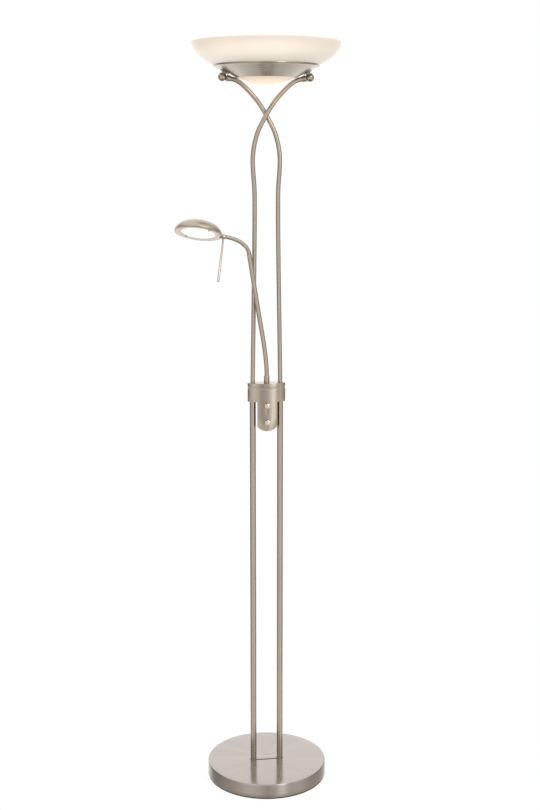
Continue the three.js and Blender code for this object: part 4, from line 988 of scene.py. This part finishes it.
# The rod gets paler tones than the other nickel, so that it shows pale against the head.
pale_rod = nickel("pale_nickel_rod", (0.3, 0.3, 0.3), tones=(0xCDC3B6, 0xD6CDC1))
fit(on_head(handle), pale_rod, "satin_nickel", "reading_head", "head_handle")

# Inside the head: a reflector of spun aluminium, bright and pebbled every 2 mm, a ceramic holder and
# the lamp.
aluminium, tree, shader, place = start_material("spun_aluminium")
pebbles = add_node(tree, "TexVoronoi", {"Vector": place, "Scale": 500.0})
plug(tree, shader, {
    "Base Color": linear(0xE6E7E8), "Metallic": 1.0, "Roughness": 0.2,
    "Normal": add_node(tree, "Bump", {"Height": pebbles, "Strength": 0.2, "Distance": 0.0002}),
})
dress(aluminium, "head_reflector")
dress(ceramic, "head_lamp_holder")
dress(lit_quartz, "head_capsule_lamp")


# The weight and the leads, which the cover and the tubes hide: a grey iron casting painted black,
# and leads with a pale heat resisting sheath.
# Painted casting: nearly black, with the grain of the moulding sand, about 1.5 mm, under the paint.
cast_iron = grained("painted_grey_iron", 700, 4, (0x242322, 0x3A3836), (0.7,), bump=(0.6, 0.0004))
dress(cast_iron, "base_weight")
# Braided glass fibre: off white and matt, with a braid of about a millimetre.
sheath = grained("braided_lead_sheath", 900, 1, (0xD8D4CA, 0xEBE8E0), (0.7,))
dress(sheath, "supply_lead", "uplight_lead")


# The studio: a pale floor and a white room behind. The camera and glass see both as white, metal
# sees the room, and the floor keeps the lamp's soft shadow.
# The floor lies a hair under the foot pad, so that the two faces don't fall together.
floor = new_piece(
    "studio_floor", bpy.ops.mesh.primitive_circle_add,
    vertices=96, radius=1.2, fill_type="NGON", location=(0, 0, -0.0002),
)
bpy.ops.object.transform_apply(location=True)
pale_floor = bpy.data.materials.new("painted_studio_floor")
pale_floor.use_nodes = True
tree = pale_floor.node_tree
tree.nodes.clear()
paint = add_node(tree, "BsdfDiffuse", {"Color": linear(0xCFCECD)})
white = add_node(tree, "Emission", {"Color": linear(0xFFFFFF), "Strength": 1.16})
path = add_node(tree, "LightPath").outputs
seen = add_node(
    tree, "Math", {0: path["Is Camera Ray"], 1: path["Is Transmission Ray"]}, operation="MAXIMUM"
)
share = add_node(tree, "Math", {0: seen, 1: 0.74}, operation="MULTIPLY")
both = add_node(tree, "MixShader", {0: share, 1: paint, 2: white})
# The floor fades into the white room between half a metre and a metre from the lamp.
place = add_node(tree, "TexCoord").outputs["Object"]
out = add_node(tree, "VectorMath", {0: place}, operation="LENGTH")
fade = add_node(
    tree, "MapRange", {"Value": out, "From Min": 0.4, "From Max": 1.1}, interpolation_type="SMOOTHSTEP"
)
# Metal sees the room through it.
fade = add_node(tree, "Math", {0: fade, 1: path["Is Glossy Ray"]}, operation="MAXIMUM")
clear = add_node(tree, "BsdfTransparent")
add_node(tree, "OutputMaterial", {"Surface": add_node(tree, "MixShader", {0: fade, 1: both, 2: clear})})
floor.data.materials.append(pale_floor)

# The room that the metal sees: bright behind the lamp, dim at both sides and right behind the camera,
# with a wide pale window to the camera's left and a narrow bright one to its right.
world = bpy.data.worlds.new("studio_room")
bpy.context.scene.world = world
world.use_nodes = True
tree = world.node_tree
tree.nodes.clear()
view = add_node(tree, "TexCoord").outputs["Generated"]
x, y, z = add_node(tree, "SeparateXYZ", {"Vector": view}).outputs
back = add_node(tree, "Math", {0: y, 1: -1.0}, operation="MULTIPLY")
turn = add_node(tree, "Math", {0: x, 1: back}, operation="ARCTAN2")
camera_turn = 7.0
round_room = add_node(tree, "MapRange", {
    "Value": turn, "From Min": -pi, "From Max": pi,
    "To Min": camera_turn / 360, "To Max": 1 + camera_turn / 360,
})
ramp = add_node(
    tree, "ValToRGB", {"Fac": add_node(tree, "Math", {0: round_room}, operation="FRACT")}
)
# Degrees from the camera, to the right, and how bright the room is there.
walls = [
    (-180, 1.10), (-152, 1.05), (-134, 0.44), (-105, 0.24), (-80, 0.44), (-54, 0.74), (-28, 1.10),
    (-12, 0.94), (-4, 0.70), (2, 0.38), (8, 0.70), (19, 0.72), (24, 1.20), (28, 2.05), (33, 1.90),
    (38, 0.90), (45, 0.56), (56, 0.90), (72, 0.72), (96, 0.38), (134, 0.50), (152, 1.05), (180, 1.10),
]
stops = ramp.color_ramp.elements
for _ in walls[2:]:
    stops.new(0.5)
for stop, (angle, level) in zip(stops, walls):
    stop.position = angle / 360 + 0.5
    # The dim parts are warmer.
    shade = min(level, 1)
    stop.color = (level, level * (0.93 + 0.07 * shade), level * (0.89 + 0.11 * shade), 1)
path = add_node(tree, "LightPath").outputs
front = add_node(
    tree, "MapRange", {"Value": y, "From Min": 0.85, "From Max": 0.15}, interpolation_type="SMOOTHSTEP"
)
room = ramp
for part, start, end, most, where, tone in (
    # The upper room is bright all round.
    (z, 0.3, 0.8, 1.0, 1.0, (1.22, 1.21, 1.2, 1)),
    # Metal sees the lit backdrop behind the lamp, down to where it sweeps into the floor.
    (y, 0.65, 0.92, 1.0, path["Is Glossy Ray"], (1.33, 1.33, 1.33, 1)),
    # Further out, the floor in front is pale and warm.
    (z, -0.37, -0.44, 0.6, front, (1.05, 0.92, 0.78, 1)),
    # The floor in front of the lamp, out of the light, is dark.
    (z, -0.6, -0.85, 1.0, front, (0.26, 0.24, 0.22, 1)),
):
    share = add_node(
        tree, "MapRange", {"Value": part, "From Min": start, "From Max": end, "To Max": most},
        interpolation_type="SMOOTHSTEP",
    )
    share = add_node(tree, "Math", {0: share, 1: where}, operation="MULTIPLY")
    room = add_node(tree, "Mix", {"Factor": share, 6: room, 7: tone}, data_type="RGBA")
light = add_node(tree, "Background", {"Color": room})
white = add_node(tree, "Background", {"Color": linear(0xFFFFFF)})
seen = add_node(
    tree, "Math", {0: path["Is Camera Ray"], 1: path["Is Transmission Ray"]}, operation="MAXIMUM"
)
add_node(tree, "OutputWorld", {"Surface": add_node(tree, "MixShader", {0: seen, 1: light, 2: white})})

# A soft key light, high on the right of the camera.
bpy.ops.object.light_add(type="AREA", location=(1.4, -2.6, 2.9))
key = bpy.context.object
key.name = "soft_key_light"
key.data.shape = "RECTANGLE"
key.data.size, key.data.size_y = 0.9, 1.6
key.data.energy = 14
key.rotation_euler = (Vector((0, 0, 1.0)) - key.location).to_track_quat("-Z", "Y").to_euler()
